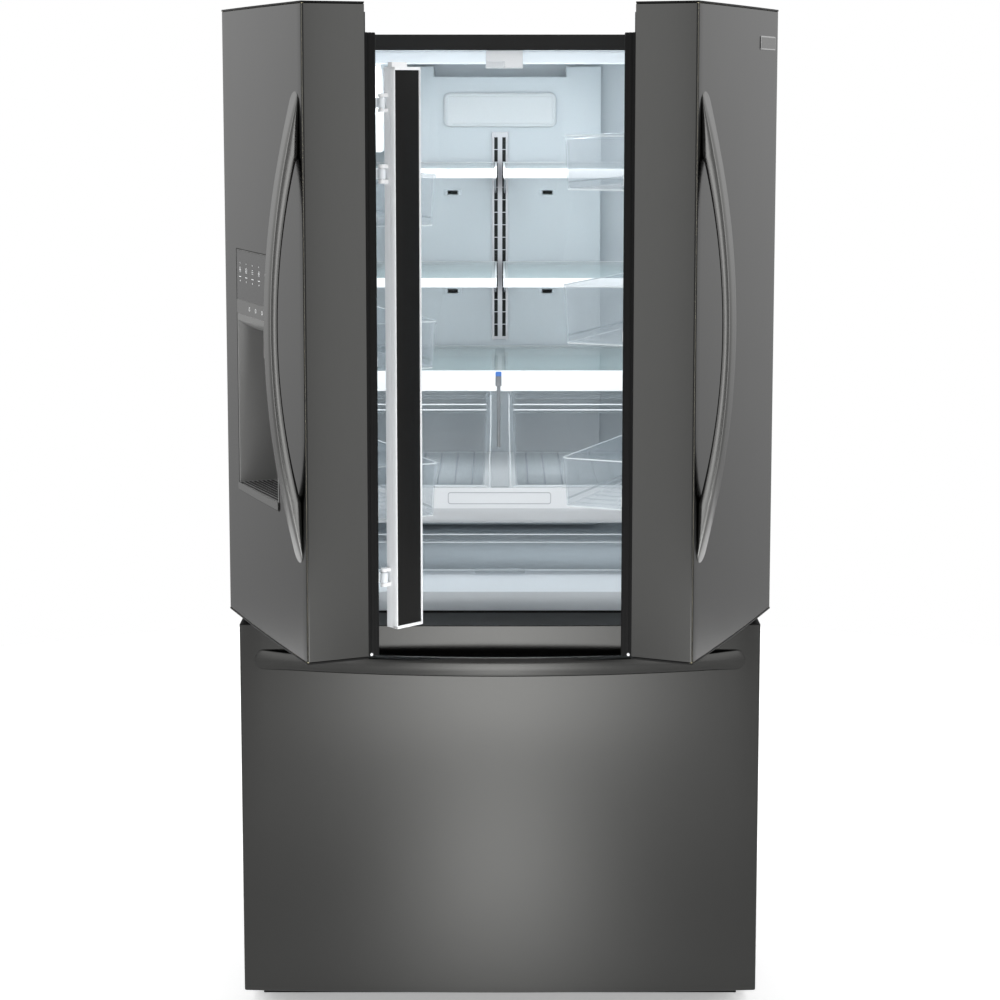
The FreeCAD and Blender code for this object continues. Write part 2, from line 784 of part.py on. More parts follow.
def rear_cover():
    half = f"{HALF_W} - sheet_t"
    plate = box(
        "rear_plate",
        (f"-({half})", half),
        ("case_depth - 2", "case_depth"),
        ("case_low + 15", "step_low - 1"),
    )
    slots = [
        box(
            f"rear_slot_{n}_{m}",
            (f"{x}", f"{x + 60}"),
            ("case_depth - 5", "case_depth + 5"),
            (f"{z}", f"{z + 8}"),
        )
        for n, x in enumerate((-250, -170, -90, 40, 120, 200, 280))
        for m, z in enumerate(range(110, 271, 26))
    ]
    window = rod("rear_window", "y", "20", ("-valve_x", "case_depth - 10", "inlet_z"), "20")
    keep("rear_cover", cut("rear", plate, *slots, window))


def water_valve():
    """The solenoid valve behind the rear cover; its threaded inlet shows through a hole."""
    block_z = ("inlet_z - 20", "inlet_z + 20")
    block = box("valve_block", ("-valve_x - 25", "-valve_x + 25"), ("690", "722"), block_z)
    coil = rod("valve_coil", "z", "16", ("-valve_x", "704", block_z[1]), "30")
    inlet = rod("valve_inlet", "y", "10", ("-valve_x", "722", "inlet_z"), "16")
    throat = rod("valve_throat", "y", "4", ("-valve_x", "726", "inlet_z"), "20")
    stand = box(
        "valve_stand",
        ("-valve_x - 15", "-valve_x + 15"),
        ("700", "712"),
        ("case_low + 3", block_z[0]),
    )
    keep("water_valve", fuse("valve_set", block, coil, cut("valve_nipple", inlet, throat), stand))


def ice_maker():
    """A housing in the upper left corner: a store with a chute below its front, and a mould behind."""
    housing = box(
        "ice_housing",
        ("-ice_outer", "-ice_inner"),
        ("ice_front", "fresh_back"),
        ("ice_low", "fresh_top"),
    )
    store = box(
        "ice_store",
        ("-ice_outer + 4", "-ice_inner - 4"),
        ("ice_front + 15", "400"),
        ("ice_low + 4", "light_low + 1"),
    )
    mould = box(
        "ice_mould",
        ("-ice_outer + 11", "-ice_inner - 14"),
        ("420", "640"),
        ("1600", "light_low + 1"),
    )
    chute = box(
        "ice_chute",
        ("-350", "-280"),
        ("ice_front + 16", "ice_front + 65"),
        ("ice_low - 5", "ice_low + 30"),
    )
    keep("ice_maker", cut("ice_box", housing, store, mould, chute))


def fixed_slides():
    rails = []
    for side in (-1, 1):
        rail = side_box(
            f"slide_rail_{side}",
            side,
            ("399", "opening_half"),
            ("10", "step_depth - 4"),
            ("slide_z - 20", "slide_z + 20"),
        )
        groove = side_box(
            f"slide_groove_{side}",
            side,
            ("398", "405"),
            ("5", "step_depth + 5"),
            ("slide_z - 8", "slide_z + 8"),
        )
        rails.append(cut(f"slide_{side}", rail, groove))
    keep("fixed_slides", fuse("fixed_slide_set", *rails))


# ---------------------------------------------------------------- doors


def side_name(side):
    return "left" if side < 0 else "right"


def hinge_pocket(name, side):
    """The room the hinge's arm needs in a door's top, open to the back and the outer side."""
    return side_box(
        name,
        side,
        ("hinge_x - 14", f"{HALF_W} + 5"),
        ("hinge_depth - 34", "5"),
        ("door_top - 11", "door_top + 5"),
    )


def dispenser_hole(name, grow="0"):
    x = (f"-disp_left - {grow}", f"-disp_right + {grow}")
    return box(name, x, ("-150", f"disp_back + {grow}"), (f"disp_low - {grow}", f"disp_top + {grow}"))


def door_skin(side):
    """The bent steel front: bowed face, plain edges and a short return round the back."""
    name = f"{side_name(side)}_door_skin"
    x_low, x_high = span(side, "door_gap / 2", HALF_W)
    low, high = "door_low + cap_t", "door_top - cap_t"
    outer = outline_pad(name + "_outer", "XY", bow_outline(x_low, x_high, "pan_back"), low, high)
    wall = "sheet_t"
    core = outline_pad(
        name + "_core",
        "XY",
        bow_outline(f"({x_low}) + {wall}", f"({x_high}) - {wall}", f"pan_back - {wall}", wall),
        f"({low}) - 5",
        f"({high}) + 5",
    )
    window = box(name + "_window", (f"({x_low}) + 16", f"({x_high}) - 16"), ("-60", "0"), ("700", "1800"))
    tools = [core, window, hinge_pocket(name + "_pocket", side)]
    if side < 0:
        tools.append(dispenser_hole(name + "_dispenser"))
    keep(name, cut(name, outer, *tools), side)


def door_foam(side):
    name = f"{side_name(side)}_door_foam"
    x_low, x_high = span(side, "door_gap / 2 + sheet_t", f"{HALF_W} - sheet_t")
    low, high = "door_low + cap_t", "door_top - cap_t"
    core = outline_pad(
        name + "_core",
        "XY",
        bow_outline(x_low, x_high, "pan_back - sheet_t", "sheet_t"),
        low,
        high,
    )
    pin = (f"{side} * hinge_x", "hinge_depth")
    tools = [
        side_box(
            name + "_pocket",
            side,
            ("hinge_x - 16", f"{HALF_W} + 5"),
            ("hinge_depth - 36", "5"),
            ("door_top - 14", "door_top + 5"),
        ),
        rod(name + "_top_boss", "z", "10", (*pin, "door_top - 36"), "40"),
        rod(name + "_low_boss", "z", "10", (*pin, "door_low - 5"), "31"),
    ]
    if side < 0:
        tools.append(dispenser_hole(name + "_dispenser"))
    keep(name, cut(name, core, *tools), side)


def door_caps(side):
    """Moulded end caps, each with a boss that takes the hinge's pin."""
    name = f"{side_name(side)}_door_caps"
    x_low, x_high = span(side, "door_gap / 2", HALF_W)
    plan = bow_outline(x_low, x_high, "pan_back")
    pin = (f"{side} * hinge_x", "hinge_depth")
    top_plate = outline_pad(name + "_top_plate", "XY", plan, "door_top - cap_t", "door_top")
    top = cut(name + "_top", top_plate, hinge_pocket(name + "_top_pocket", side))
    well_block = side_box(
        name + "_well_block",
        side,
        ("hinge_x - 16", f"{HALF_W} - sheet_t"),
        ("hinge_depth - 36", "pan_back - sheet_t"),
        ("door_top - 14", "door_top - cap_t"),
    )
    well = cut(name + "_well", well_block, hinge_pocket(name + "_well_pocket", side))
    top_boss = rod(name + "_top_boss", "z", "10", (*pin, "door_top - 36"), "22")
    top_bore = rod(name + "_top_bore", "z", "pin_r + running_gap", (*pin, "door_top - 33"), "30")
    bottom = outline_pad(name + "_bottom", "XY", plan, "door_low", "door_low + cap_t")
    low_boss = rod(name + "_low_boss", "z", "10", (*pin, "door_low"), "26")
    low_bore = rod(name + "_low_bore", "z", "pin_r + running_gap", (*pin, "door_low - 5"), "28")
    upper = cut(name + "_upper", fuse(name + "_top_set", top, well, top_boss), top_bore)
    lower = cut(name + "_lower", fuse(name + "_low_set", bottom, low_boss), low_bore)
    keep(name, fuse(name + "_pair", upper, lower), side)


def door_liner(side):
    """The moulded inner panel with its raised rim; the left one also carries the mullion's knuckles."""
    name = f"{side_name(side)}_door_liner"
    plate = side_box(
        name + "_plate",
        side,
        ("door_gap / 2 + 1", f"{HALF_W} - 1"),
        ("pan_back", "pan_back + 2"),
        ("door_low + 4", "door_top - 16"),
    )
    rim = side_box(name + "_rim", side, ("50", "400"), ("pan_back + 2", "dike_out"), ("768", "1698"))
    well = side_box(name + "_well", side, ("82", "368"), ("pan_back + 2", "dike_out + 5"), ("800", "1666"))
    pieces = [plate, cut(name + "_dike", rim, well)]
    bores = []
    if side < 0:
        for n, z in enumerate(KNUCKLES):
            web_x = ("-60", "-mullion_pin_x")
            web_depth = ("dike_out", "mullion_pin_depth + 3")
            pieces.append(box(f"{name}_web_{n}", web_x, web_depth, (f"{z} - 8", f"{z} + 8")))
            barrel = ("-mullion_pin_x", "mullion_pin_depth", f"{z} - 8")
            pieces.append(rod(f"{name}_knuckle_{n}", "z", "6.5", barrel, "16"))
            bore = ("-mullion_pin_x", "mullion_pin_depth", f"{z} - 12")
            bores.append(rod(f"{name}_bore_{n}", "z", "3 + running_gap", bore, "24"))
    whole = fuse(name + "_moulding", *pieces)
    keep(name, cut(name, whole, *bores) if bores else whole, side)


def door_gasket(side):
    name = f"{side_name(side)}_door_gasket"
    depth = ("pan_back + 2", "pan_back + gasket_t")
    outer = side_box(name + "_outer", side, ("5", "gasket_side"), depth, ("gasket_low", "gasket_top"))
    inner = side_box(
        name + "_inner", side, ("5 + gasket_w", "gasket_side - gasket_w"), ("-40", "10"), (
            "gasket_low + gasket_w", "gasket_top - gasket_w"
        )
    )
    keep(name, cut(name, outer, inner), side)


def door_handle(side):
    """An arched grip that springs from the door's face and returns to it."""
    name = f"{side_name(side)}_door_handle"
    face = FRONT_MID
    outer_r = "(((grip_top - grip_low) / 2)^2 + grip_bow^2) / (2 * grip_bow)"
    inner_bow = "(grip_bow - grip_t)"
    inner_r = f"(((grip_top - grip_low) / 2 - grip_foot)^2 + {inner_bow}^2) / (2 * {inner_bow})"
    crescent = [
        (at(face), "grip_low", f"-{outer_r}"),
        (at(face), "grip_top"),
        (at(face), "grip_top - grip_foot", inner_r),
        (at(face), "grip_low + grip_foot"),
    ]
    low, high = span(side, "grip_x - grip_w / 2", "grip_x + grip_w / 2")
    keep(name, outline_pad(name, "YZ", crescent, low, high), side)


def door_bins(side, heights):
    name = f"{side_name(side)}_door_bins"
    x = span(side, "bin_inner", "bin_outer")
    depth = ("dike_out", "bin_front")
    trays = [
        open_tray(f"{name}_{n}", x, depth, (f"{low}", f"{high}"), "bin_t")
        for n, (low, high) in enumerate(heights)
    ]
    keep(name, fuse(name, *trays), side)


# ---------------------------------------------------------------- mullion between the doors


def mullion():
    """The upright bar that bridges the gap between the shut doors, drawn in its bridging place."""
    low, high = "mullion_low", "mullion_top"
    bar = box("mullion_body", ("-mullion_half", "mullion_half"), ("2.2", "1.2 + mullion_t"), (low, high))
    pieces = [bar]
    arm_x = ("-mullion_pin_x", "-mullion_half")
    arm_depth = ("mullion_pin_depth - 4", "mullion_pin_depth + 4")
    for n, z in enumerate(KNUCKLES):
        for m, reach in enumerate((f"{z} + 9", f"{z} - 15")):
            arm = box(f"mullion_arm_{n}_{m}", arm_x, arm_depth, (reach, f"{reach} + 6"))
            eye = rod(
                f"mullion_eye_{n}_{m}",
                "z",
                "5.5",
                ("-mullion_pin_x", "mullion_pin_depth", reach),
                "6",
            )
            pieces += [arm, eye]
        pieces.append(
            rod(f"mullion_pin_{n}", "z", "3", ("-mullion_pin_x", "mullion_pin_depth", f"{z} - 12"), "24")
        )
    pieces.append(box("mullion_follower", ("-26", "6"), ("8", "18"), ("mullion_top", "mullion_top + 8")))
    keep("mullion_bar", fuse("mullion_set", *pieces), -1, folded=True)
    x_low, x_high = "-mullion_half + 2", "mullion_half - 3"
    plan = [(x_low, at("1.2")), (x_high, at("1.2")), (x_high, at("2.2")), (x_low, at("2.2"))]
    plate = outline_pad("mullion_face", "XY", plan, "mullion_low + 4", "mullion_top - 4")
    keep("mullion_plate", plate, -1, folded=True)


# ---------------------------------------------------------------- dispenser


def dispenser_housing():
    x_low, x_high = "-disp_left + 0.5", "-disp_right - 0.5"
    block = outline_pad(
        "housing_block",
        "XY",
        bow_outline(x_low, x_high, "disp_back"),
        "disp_low + 0.5",
        "disp_top - 0.5",
    )
    cavity_profile = [
        (at("-150"), "cavity_low"),
        (at("disp_back - 5"), "cavity_low"),
        (at("disp_back - 5"), "cavity_top - 36"),
        (at("-92"), "cavity_top - 26"),
        (at("-150"), "cavity_top + 10"),
    ]
    cavity = outline_pad("housing_cavity", "YZ", cavity_profile, "-disp_left + 6", "-disp_right - 6")
    panel_room = box(
        "housing_panel_room",
        ("-disp_left + 2", "-disp_right - 2"),
        ("-150", "-112"),
        ("panel_low", "disp_top - 2"),
    )
    tray_room = box(
        "housing_tray_room",
        ("-disp_left + 6", "-disp_right - 6"),
        ("-150", "disp_back - 9"),
        ("disp_low + 4", "cavity_low + 5"),
    )
    ears = [
        box(f"housing_ear_{n}", (x, f"{x} + 6"), ("-94", "-74"), ("paddle_z - 10", "cavity_top - 20"))
        for n, x in enumerate(("-301", "-221"))
    ]
    spout = rod("housing_spout", "z", "17", ("-258", "-70", "paddle_z + 6"), "40")
    bore = rod("housing_bore", "x", "3 + running_gap", ("-310", "-84", "paddle_z"), "104")
    shell = cut("housing_shell", block, cavity, panel_room, tray_room)
    keep("dispenser_housing", cut("housing", fuse("housing_set", shell, *ears, spout), bore), -1)


def dispenser_panel():
    x_low, x_high = "-disp_left + 2.2", "-disp_right - 2.2"
    keep(
        "dispenser_panel",
        outline_pad(
            "panel",
            "XY",
            bow_outline(x_low, x_high, "-112.5"),
            "panel_low + 0.2",
            "disp_top - 2.2",
        ),
        -1,
    )


def drip_tray():
    x_low, x_high = "-disp_left + 6.2", "-disp_right - 6.2"
    tray = outline_pad(
        "tray_block",
        "XY",
        bow_outline(x_low, x_high, "disp_back - 9.2", "-1.5"),
        "disp_low + 4.2",
        "cavity_low",
    )
    slots = [
        box(f"tray_slot_{n}", (f"{x}", f"{x + 5}"), ("-108", "-62"), ("cavity_low - 4", "cavity_low + 5"))
        for n, x in enumerate(range(-352, -165, 11))
    ]
    keep("drip_tray", cut("tray", tray, *slots), -1)


def dispenser_paddle():
    rocker = rod("paddle_rocker", "x", "3", ("-300", "-84", "paddle_z"), "84")
    sleeve = rod("paddle_sleeve", "x", "5", ("-290", "-84", "paddle_z"), "64")
    blade = box("paddle_blade", ("-286", "-230"), ("-86", "-82"), ("1072", "paddle_z"))
    keep("dispenser_paddle", fuse("paddle_set", rocker, sleeve, blade), -1)


# ---------------------------------------------------------------- fresh food drawers


def crisper(side):
    name = f"crisper_{side_name(side)}"
    x = span(side, "crisper_in", "404")
    tray = open_tray(
        name + "_tray",
        x,
        ("shelf_front + 5", "shelf_back - 8"),
        ("crisper_low", "crisper_top"),
        "drawer_wall",
    )
    lip_x = span(side, "crisper_in + 4", "400")
    lip = box(
        name + "_lip",
        lip_x,
        ("shelf_front - 1", "shelf_front + 6"),
        ("crisper_top - 39", "crisper_top - 33"),
    )
    keep(name, fuse(name, tray, lip))


def deli_drawer():
    tray = open_tray(
        "deli_tray",
        ("-402", "402"),
        ("shelf_front + 5", "shelf_back - 8"),
        ("deli_low", "deli_top"),
        "drawer_wall",
    )
    lip = box(
        "deli_lip",
        ("-396", "396"),
        ("shelf_front - 1", "shelf_front + 6"),
        ("deli_top - 19", "deli_top - 14"),
    )
    pull = box(
        "deli_pull",
        ("-50", "50"),
        ("shelf_front - 7", "shelf_front + 6"),
        ("deli_low", "deli_low + 4"),
    )
    keep("deli_drawer", fuse("deli", tray, lip, pull))


# ---------------------------------------------------------------- freezer drawer


def freezer_drawer_skin():
    plan = bow_outline(f"-{HALF_W}", HALF_W, "pan_back")
    outer = outline_pad("drawer_outer", "XY", plan, "drawer_low", "drawer_top")
    half = f"{HALF_W} - sheet_t"
    core_plan = bow_outline(f"-({half})", half, "pan_back - sheet_t", "sheet_t")
    core = outline_pad("drawer_core", "XY", core_plan, "drawer_low + sheet_t", "drawer_top - sheet_t")
    window = box(
        "drawer_window",
        (f"-({half}) + 16", f"({half}) - 16"),
        ("-60", "0"),
        ("drawer_low + 16", "drawer_top - 16"),
    )
    keep("freezer_drawer_skin", cut("drawer_skin", outer, core, window))


def freezer_drawer_foam():
    half = f"{HALF_W} - sheet_t"
    plan = bow_outline(f"-({half})", half, "pan_back - sheet_t", "sheet_t")
    keep(
        "freezer_drawer_foam",
        outline_pad("drawer_foam", "XY", plan, "drawer_low + sheet_t", "drawer_top - sheet_t"),
    )


def freezer_drawer_liner():
    plate = box(
        "drawer_plate",
        (f"-{HALF_W} + 2", f"{HALF_W} - 2"),
        ("pan_back", "pan_back + 2"),
        ("drawer_low + 2", "drawer_top - 2"),
    )
    rim = box("drawer_rim", ("-dike_half", "dike_half"), ("pan_back + 2", "0"), ("dike_low", "dike_top"))
    well = box(
        "drawer_well",
        ("-dike_half + 34", "dike_half - 34"),
        ("pan_back + 2", "5"),
        ("dike_low + 34", "dike_top - 34"),
    )
    keep("freezer_drawer_liner", fuse("drawer_liner", plate, cut("drawer_dike", rim, well)))


def freezer_drawer_gasket():
    depth = ("pan_back + 2", "pan_back + gasket_t")
    outer = box("drawer_seal_outer", ("-gasket_side", "gasket_side"), depth, ("seal_low", "seal_top"))
    inner = box(
        "drawer_seal_inner",
        ("-gasket_side + gasket_w", "gasket_side - gasket_w"),
        ("-40", "10"),
        ("seal_low + gasket_w", "seal_top - gasket_w"),
    )
    keep("freezer_drawer_gasket", cut("drawer_seal", outer, inner))


def freezer_drawer_handle():
    """The same arched grip laid level, on the bowed drawer front."""
    tip = "side_front - bow + (pull_half^2) / (2 * " + BOW_R + ")"
    apex = "(side_front - bow - pull_bow)"
    outer_rise = f"(({tip}) - {apex})"
    outer_r = f"(pull_half^2 + {outer_rise}^2) / (2 * {outer_rise})"
    inner_half = "(pull_half - 43)"
    foot = f"({bowed(inner_half)})"
    inner_rise = f"({foot} - {apex} - grip_t)"
    inner_r = f"({inner_half}^2 + {inner_rise}^2) / (2 * {inner_rise})"
    plan = [
        ("-pull_half", at(bowed("pull_half")), outer_r),
        ("pull_half", at(bowed("pull_half")), f"-{BOW_R}"),
        (inner_half, at(foot), f"-({inner_r})"),
        (f"-{inner_half}", at(foot), f"-{BOW_R}"),
    ]
    keep(
        "freezer_drawer_handle",
        outline_pad("drawer_pull", "XY", plan, "pull_z - pull_w / 2", "pull_z + pull_w / 2"),
    )


def moving_slides():
    """A side frame each side: the running bar, an upper bar for the top basket, and two uprights."""
    frames = []
    for side in (-1, 1):
        name = f"side_frame_{side}"
        bar_z = ("slide_z - 7.4", "slide_z + 7.4")
        frame_x = ("frame_inner", "frame_outer")
        whole = ("pan_back + 2", "slide_end")
        frames.append(side_box(name + "_bar", side, ("frame_inner", "404.4"), whole, bar_z))
        frames.append(side_box(name + "_upper", side, frame_x, whole, ("476", "486")))
        frames.append(side_box(name + "_front", side, frame_x, ("pan_back + 2", "-4"), ("200", "486")))
        frames.append(
            side_box(name + "_rear", side, frame_x, ("slide_end - 14", "slide_end"), ("slide_z", "486"))
        )
    keep("moving_slides", fuse("moving_slide_set", *frames))


def slotted_basket(name, x, depth, z, wall, ledge):
    """An open basket with upright slots in its walls and a ledge that rides on the side frames."""
    tray = open_tray(name + "_tray", x, depth, z, wall)
    low, high = float(z[0]), float(z[1])
    slots = []
    for n, mid in enumerate(range(-336, 337, 48)):
        slot_z = (f"{low + 25}", f"{high - 35}")
        slots.append(
            box(
                f"{name}_slot_{n}",
                (f"{mid - 9}", f"{mid + 9}"),
                (f"({depth[0]}) - 5", f"({depth[1]}) + 5"),
                slot_z,
            ),
        )
    ledge_x, ledge_depth = (f"{x[1]} - 1", "frame_outer"), (f"({depth[0]}) + 10", f"({depth[1]}) - 14")
    ledges = [side_box(f"{name}_ledge_{s}", s, ledge_x, ledge_depth, ledge) for s in (-1, 1)]
    keep(name, fuse(name, cut(name + "_slotted", tray, *slots), *ledges))


# ---------------------------------------------------------------- assembly

cabinet_wrapper()
foam_insulation()
fresh_food_liner()
freezer_liner()
front_frame()
door_hinges()
mullion_guide()
ceiling_light()
air_duct_panel()
air_filter_cover()
shelf_tracks()
shelves()
crisper_cover_frame()
crisper_tray()
toe_grille()
levelling_legs()
chassis_tray()
rear_rollers()
compressor()
finned_coil("condenser_coil", (90, 400), (600, 640, 680), (60, 105, 150, 195), "5", 16)
fan("condenser_fan", "x", ("-5", "fan_depth", "fan_z"), "75", "18", "16")
finned_coil("evaporator_coil", (-300, 300), (612, 638), (445, 485, 525, 565), "5", 20)
evaporator_cover()
fan("evaporator_fan", "y", ("0", "612", "cold_fan_z"), "42", "12", "12")
rear_cover()
water_valve()
ice_maker()
fixed_slides()

for door_side in (-1, 1):
    door_skin(door_side)
    door_foam(door_side)
    door_caps(door_side)
    door_liner(door_side)
    door_gasket(door_side)
    door_handle(door_side)
door_bins(-1, ((945, 1035), (1190, 1269), (1423, 1507)))
door_bins(1, ((961, 1044), (1231, 1328), (1481, 1570)))
mullion()
dispenser_housing()
dispenser_panel()
drip_tray()
dispenser_paddle()

crisper(-1)
crisper(1)
deli_drawer()

freezer_drawer_skin()
freezer_drawer_foam()
freezer_drawer_liner()
freezer_drawer_gasket()
freezer_drawer_handle()
moving_slides()
low_ledge = ("slide_z + 7.4", "slide_z + 11")
slotted_basket("freezer_basket", ("-388", "388"), ("8", "478"), ("110", "335"), "3", low_ledge)
slotted_basket("upper_basket", ("-388", "388"), ("8", "470"), ("400", "560"), "3", ("486.5", "490"))

doc.recompute()
failed = [o.Name for o in doc.Objects if {"Invalid", "Error"} & set(o.State)]
bad = [n for n, o in NODES.items() if o.Shape.isNull() or not o.Shape.isValid() or not o.Shape.Solids]
if failed or bad:
    raise RuntimeError(f"failed objects {failed}, bad shapes {bad}")

os.makedirs("parts", exist_ok=True)
for name, obj in NODES.items():
    obj.Shape.exportStep(f"parts/{name}.step")
print(len(NODES), "sub-parts written")
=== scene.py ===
import json
import math

import bmesh
import bpy
from mathutils import Matrix, Vector


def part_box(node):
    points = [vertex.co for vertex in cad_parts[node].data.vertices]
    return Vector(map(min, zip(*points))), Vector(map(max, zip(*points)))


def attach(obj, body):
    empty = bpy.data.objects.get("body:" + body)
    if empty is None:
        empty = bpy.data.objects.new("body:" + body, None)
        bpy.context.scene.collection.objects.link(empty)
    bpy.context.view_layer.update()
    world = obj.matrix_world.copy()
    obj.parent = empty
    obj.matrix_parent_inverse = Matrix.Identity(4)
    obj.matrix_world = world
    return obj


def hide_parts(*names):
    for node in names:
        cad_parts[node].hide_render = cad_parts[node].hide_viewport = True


# Looks of a French door refrigerator. Everything is in metres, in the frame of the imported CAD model.
# A door's pieces are made where the shut door is, then turned to the door's rest angle about its hinge.

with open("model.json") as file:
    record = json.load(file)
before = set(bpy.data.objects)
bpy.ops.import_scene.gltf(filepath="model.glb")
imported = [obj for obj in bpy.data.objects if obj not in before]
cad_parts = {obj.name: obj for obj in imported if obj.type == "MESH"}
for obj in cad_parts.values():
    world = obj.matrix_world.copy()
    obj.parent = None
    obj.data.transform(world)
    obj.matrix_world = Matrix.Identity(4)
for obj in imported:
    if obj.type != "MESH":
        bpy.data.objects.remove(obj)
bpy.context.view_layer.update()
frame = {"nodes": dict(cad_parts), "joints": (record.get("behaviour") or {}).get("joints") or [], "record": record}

NODES = frame["nodes"]
JOINTS = {j["name"]: j for j in frame["joints"]}
SLOT_OF = {s["node"]: s["material_slot"] for s in frame["record"]["subparts"]}
SIDES = {"left": -1, "right": 1}
MM = 0.001


# ------------------------------ places read from the frame


def joint_turn(name):
    """The turn from a hinge's low limit, where its body is shut or bridging, to where it rests."""
    joint = JOINTS[name]
    centre = Matrix.Translation(Vector(joint["pos_m"]))
    spin = Matrix.Rotation(math.radians(-joint["range_deg"][0]), 4, Vector(joint["axis"]))
    return centre @ spin @ centre.inverted()


TURN = {side: joint_turn(f"{side}_door_hinge") for side in SIDES}
TURN["mullion"] = joint_turn("mullion_hinge") @ TURN["left"]


def shut_points(node, turn):
    """A swinging node's points where its door is shut."""
    back = turn.inverted()
    return [back @ v.co for v in NODES[node].data.vertices]


def shut_box(node, turn):
    """A swinging node's lowest and highest corners where its door is shut."""
    points = shut_points(node, turn)
    low = Vector([min(p[i] for p in points) for i in range(3)])
    high = Vector([max(p[i] for p in points) for i in range(3)])
    return low, high


def box_of(node, turn):
    """A node's corners: where its door is shut if it swings, or else where it is."""
    return shut_box(node, turn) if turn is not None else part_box(node)


drawer_low, drawer_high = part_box("freezer_drawer_skin")
HALF_WIDTH = drawer_high.x
BOW_MID = drawer_low.y
BOW_SIDE = min(v.co.y for v in NODES["freezer_drawer_skin"].data.vertices if v.co.x > HALF_WIDTH - 0.1 * MM)
BOW_DEPTH = BOW_SIDE - BOW_MID
BOW_RADIUS = (HALF_WIDTH**2 + BOW_DEPTH**2) / (2 * BOW_DEPTH)
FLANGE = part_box("front_frame")[0].y


def bow_y(x):
    """Where the bowed front of the doors and drawer is at x."""
    return BOW_MID + BOW_RADIUS - math.sqrt(BOW_RADIUS**2 - x * x)


# ------------------------------ shader tools


def feed(tree, node, inputs):
    """Sets a node's inputs, each to a value or to another node's output."""
    for key, value in inputs.items():
        if isinstance(value, bpy.types.NodeSocket):
            tree.links.new(value, node.inputs[key])
        else:
            node.inputs[key].default_value = value


def add_node(tree, kind, inputs=(), **settings):
    node = tree.nodes.new("ShaderNode" + kind)
    for name, value in settings.items():
        setattr(node, name, value)
    feed(tree, node, dict(inputs))
    return node


def add_range(tree, value, before, after, **settings):
    """A value moved from one (low, high) range to another."""
    ends = {"From Min": before[0], "From Max": before[1], "To Min": after[0], "To Max": after[1]}
    return add_node(tree, "MapRange", {"Value": value, **ends}, **settings).outputs["Result"]


def add_math(tree, kind, operation, *values):
    """The result of a Math or VectorMath node."""
    node = add_node(tree, kind, enumerate(values), operation=operation)
    return node.outputs["Value" if kind == "Math" or operation == "DOT_PRODUCT" else "Vector"]


# ------------------------------ materials


def grained(
    name, colour, rough, metal=0.0, grain=900, vary=0.05, rough_vary=0.05, bump=0.1, depth=0.06, specular=0.5
):
    """A shader whose colour, roughness and surface follow a fine noise.

    grain is the noise's scale, for all three ways or each; vary and rough_vary say how far the colour and
    the roughness wander; bump is the relief's strength and depth its height in millimetres."""
    made = bpy.data.materials.new(name)
    made.use_nodes = True
    tree = made.node_tree
    place = add_node(tree, "TexCoord").outputs["Object"]
    scale = (grain,) * 3 if isinstance(grain, int) else grain
    scaled = add_node(tree, "Mapping", {"Vector": place, "Scale": scale}).outputs["Vector"]
    noise = add_node(tree, "TexNoise", {"Vector": scaled, "Scale": 1.0, "Detail": 3.0}).outputs["Fac"]
    tint = add_node(tree, "ValToRGB", {"Fac": noise})
    for stop, position, factor in zip(tint.color_ramp.elements, (0.3, 0.7), (1 - vary, 1 + vary)):
        stop.position = position
        stop.color = (*[min(1.0, c * factor) for c in colour], 1)
    cloud = add_node(tree, "TexNoise", {"Vector": place, "Scale": 9.0}).outputs["Fac"]
    gloss = add_range(tree, cloud, (0, 1), (max(0.02, rough - rough_vary), min(1.0, rough + rough_vary)))
    relief = add_node(tree, "Bump", {"Height": noise, "Strength": bump, "Distance": depth * MM})
    feed(tree, tree.nodes["Principled BSDF"], {
        "Base Color": tint.outputs["Color"],
        "Metallic": metal,
        "Roughness": gloss,
        "Specular IOR Level": specular,
        "Normal": relief.outputs["Normal"],
    })
    return made


def clear(name, colour, least, most, rough=0.06):
    """See-through plastic or glass that gets denser where it is seen edge on."""
    made = grained(name, colour, rough, grain=40, vary=0.02, rough_vary=0.02, bump=0.03, depth=0.3)
    tree = made.node_tree
    facing = add_node(tree, "LayerWeight", {"Blend": 0.35}).outputs["Facing"]
    alpha = add_range(tree, facing, (0, 1), (least, most))
    feed(tree, tree.nodes["Principled BSDF"], {"Alpha": alpha})
    return made


def glowing(name, colour, strength):
    made = grained(name, colour, 0.5, vary=0.01, rough_vary=0.06, depth=0.1)
    glow = {"Emission Color": (*colour, 1), "Emission Strength": strength}
    feed(made.node_tree, made.node_tree.nodes["Principled BSDF"], glow)
    return made


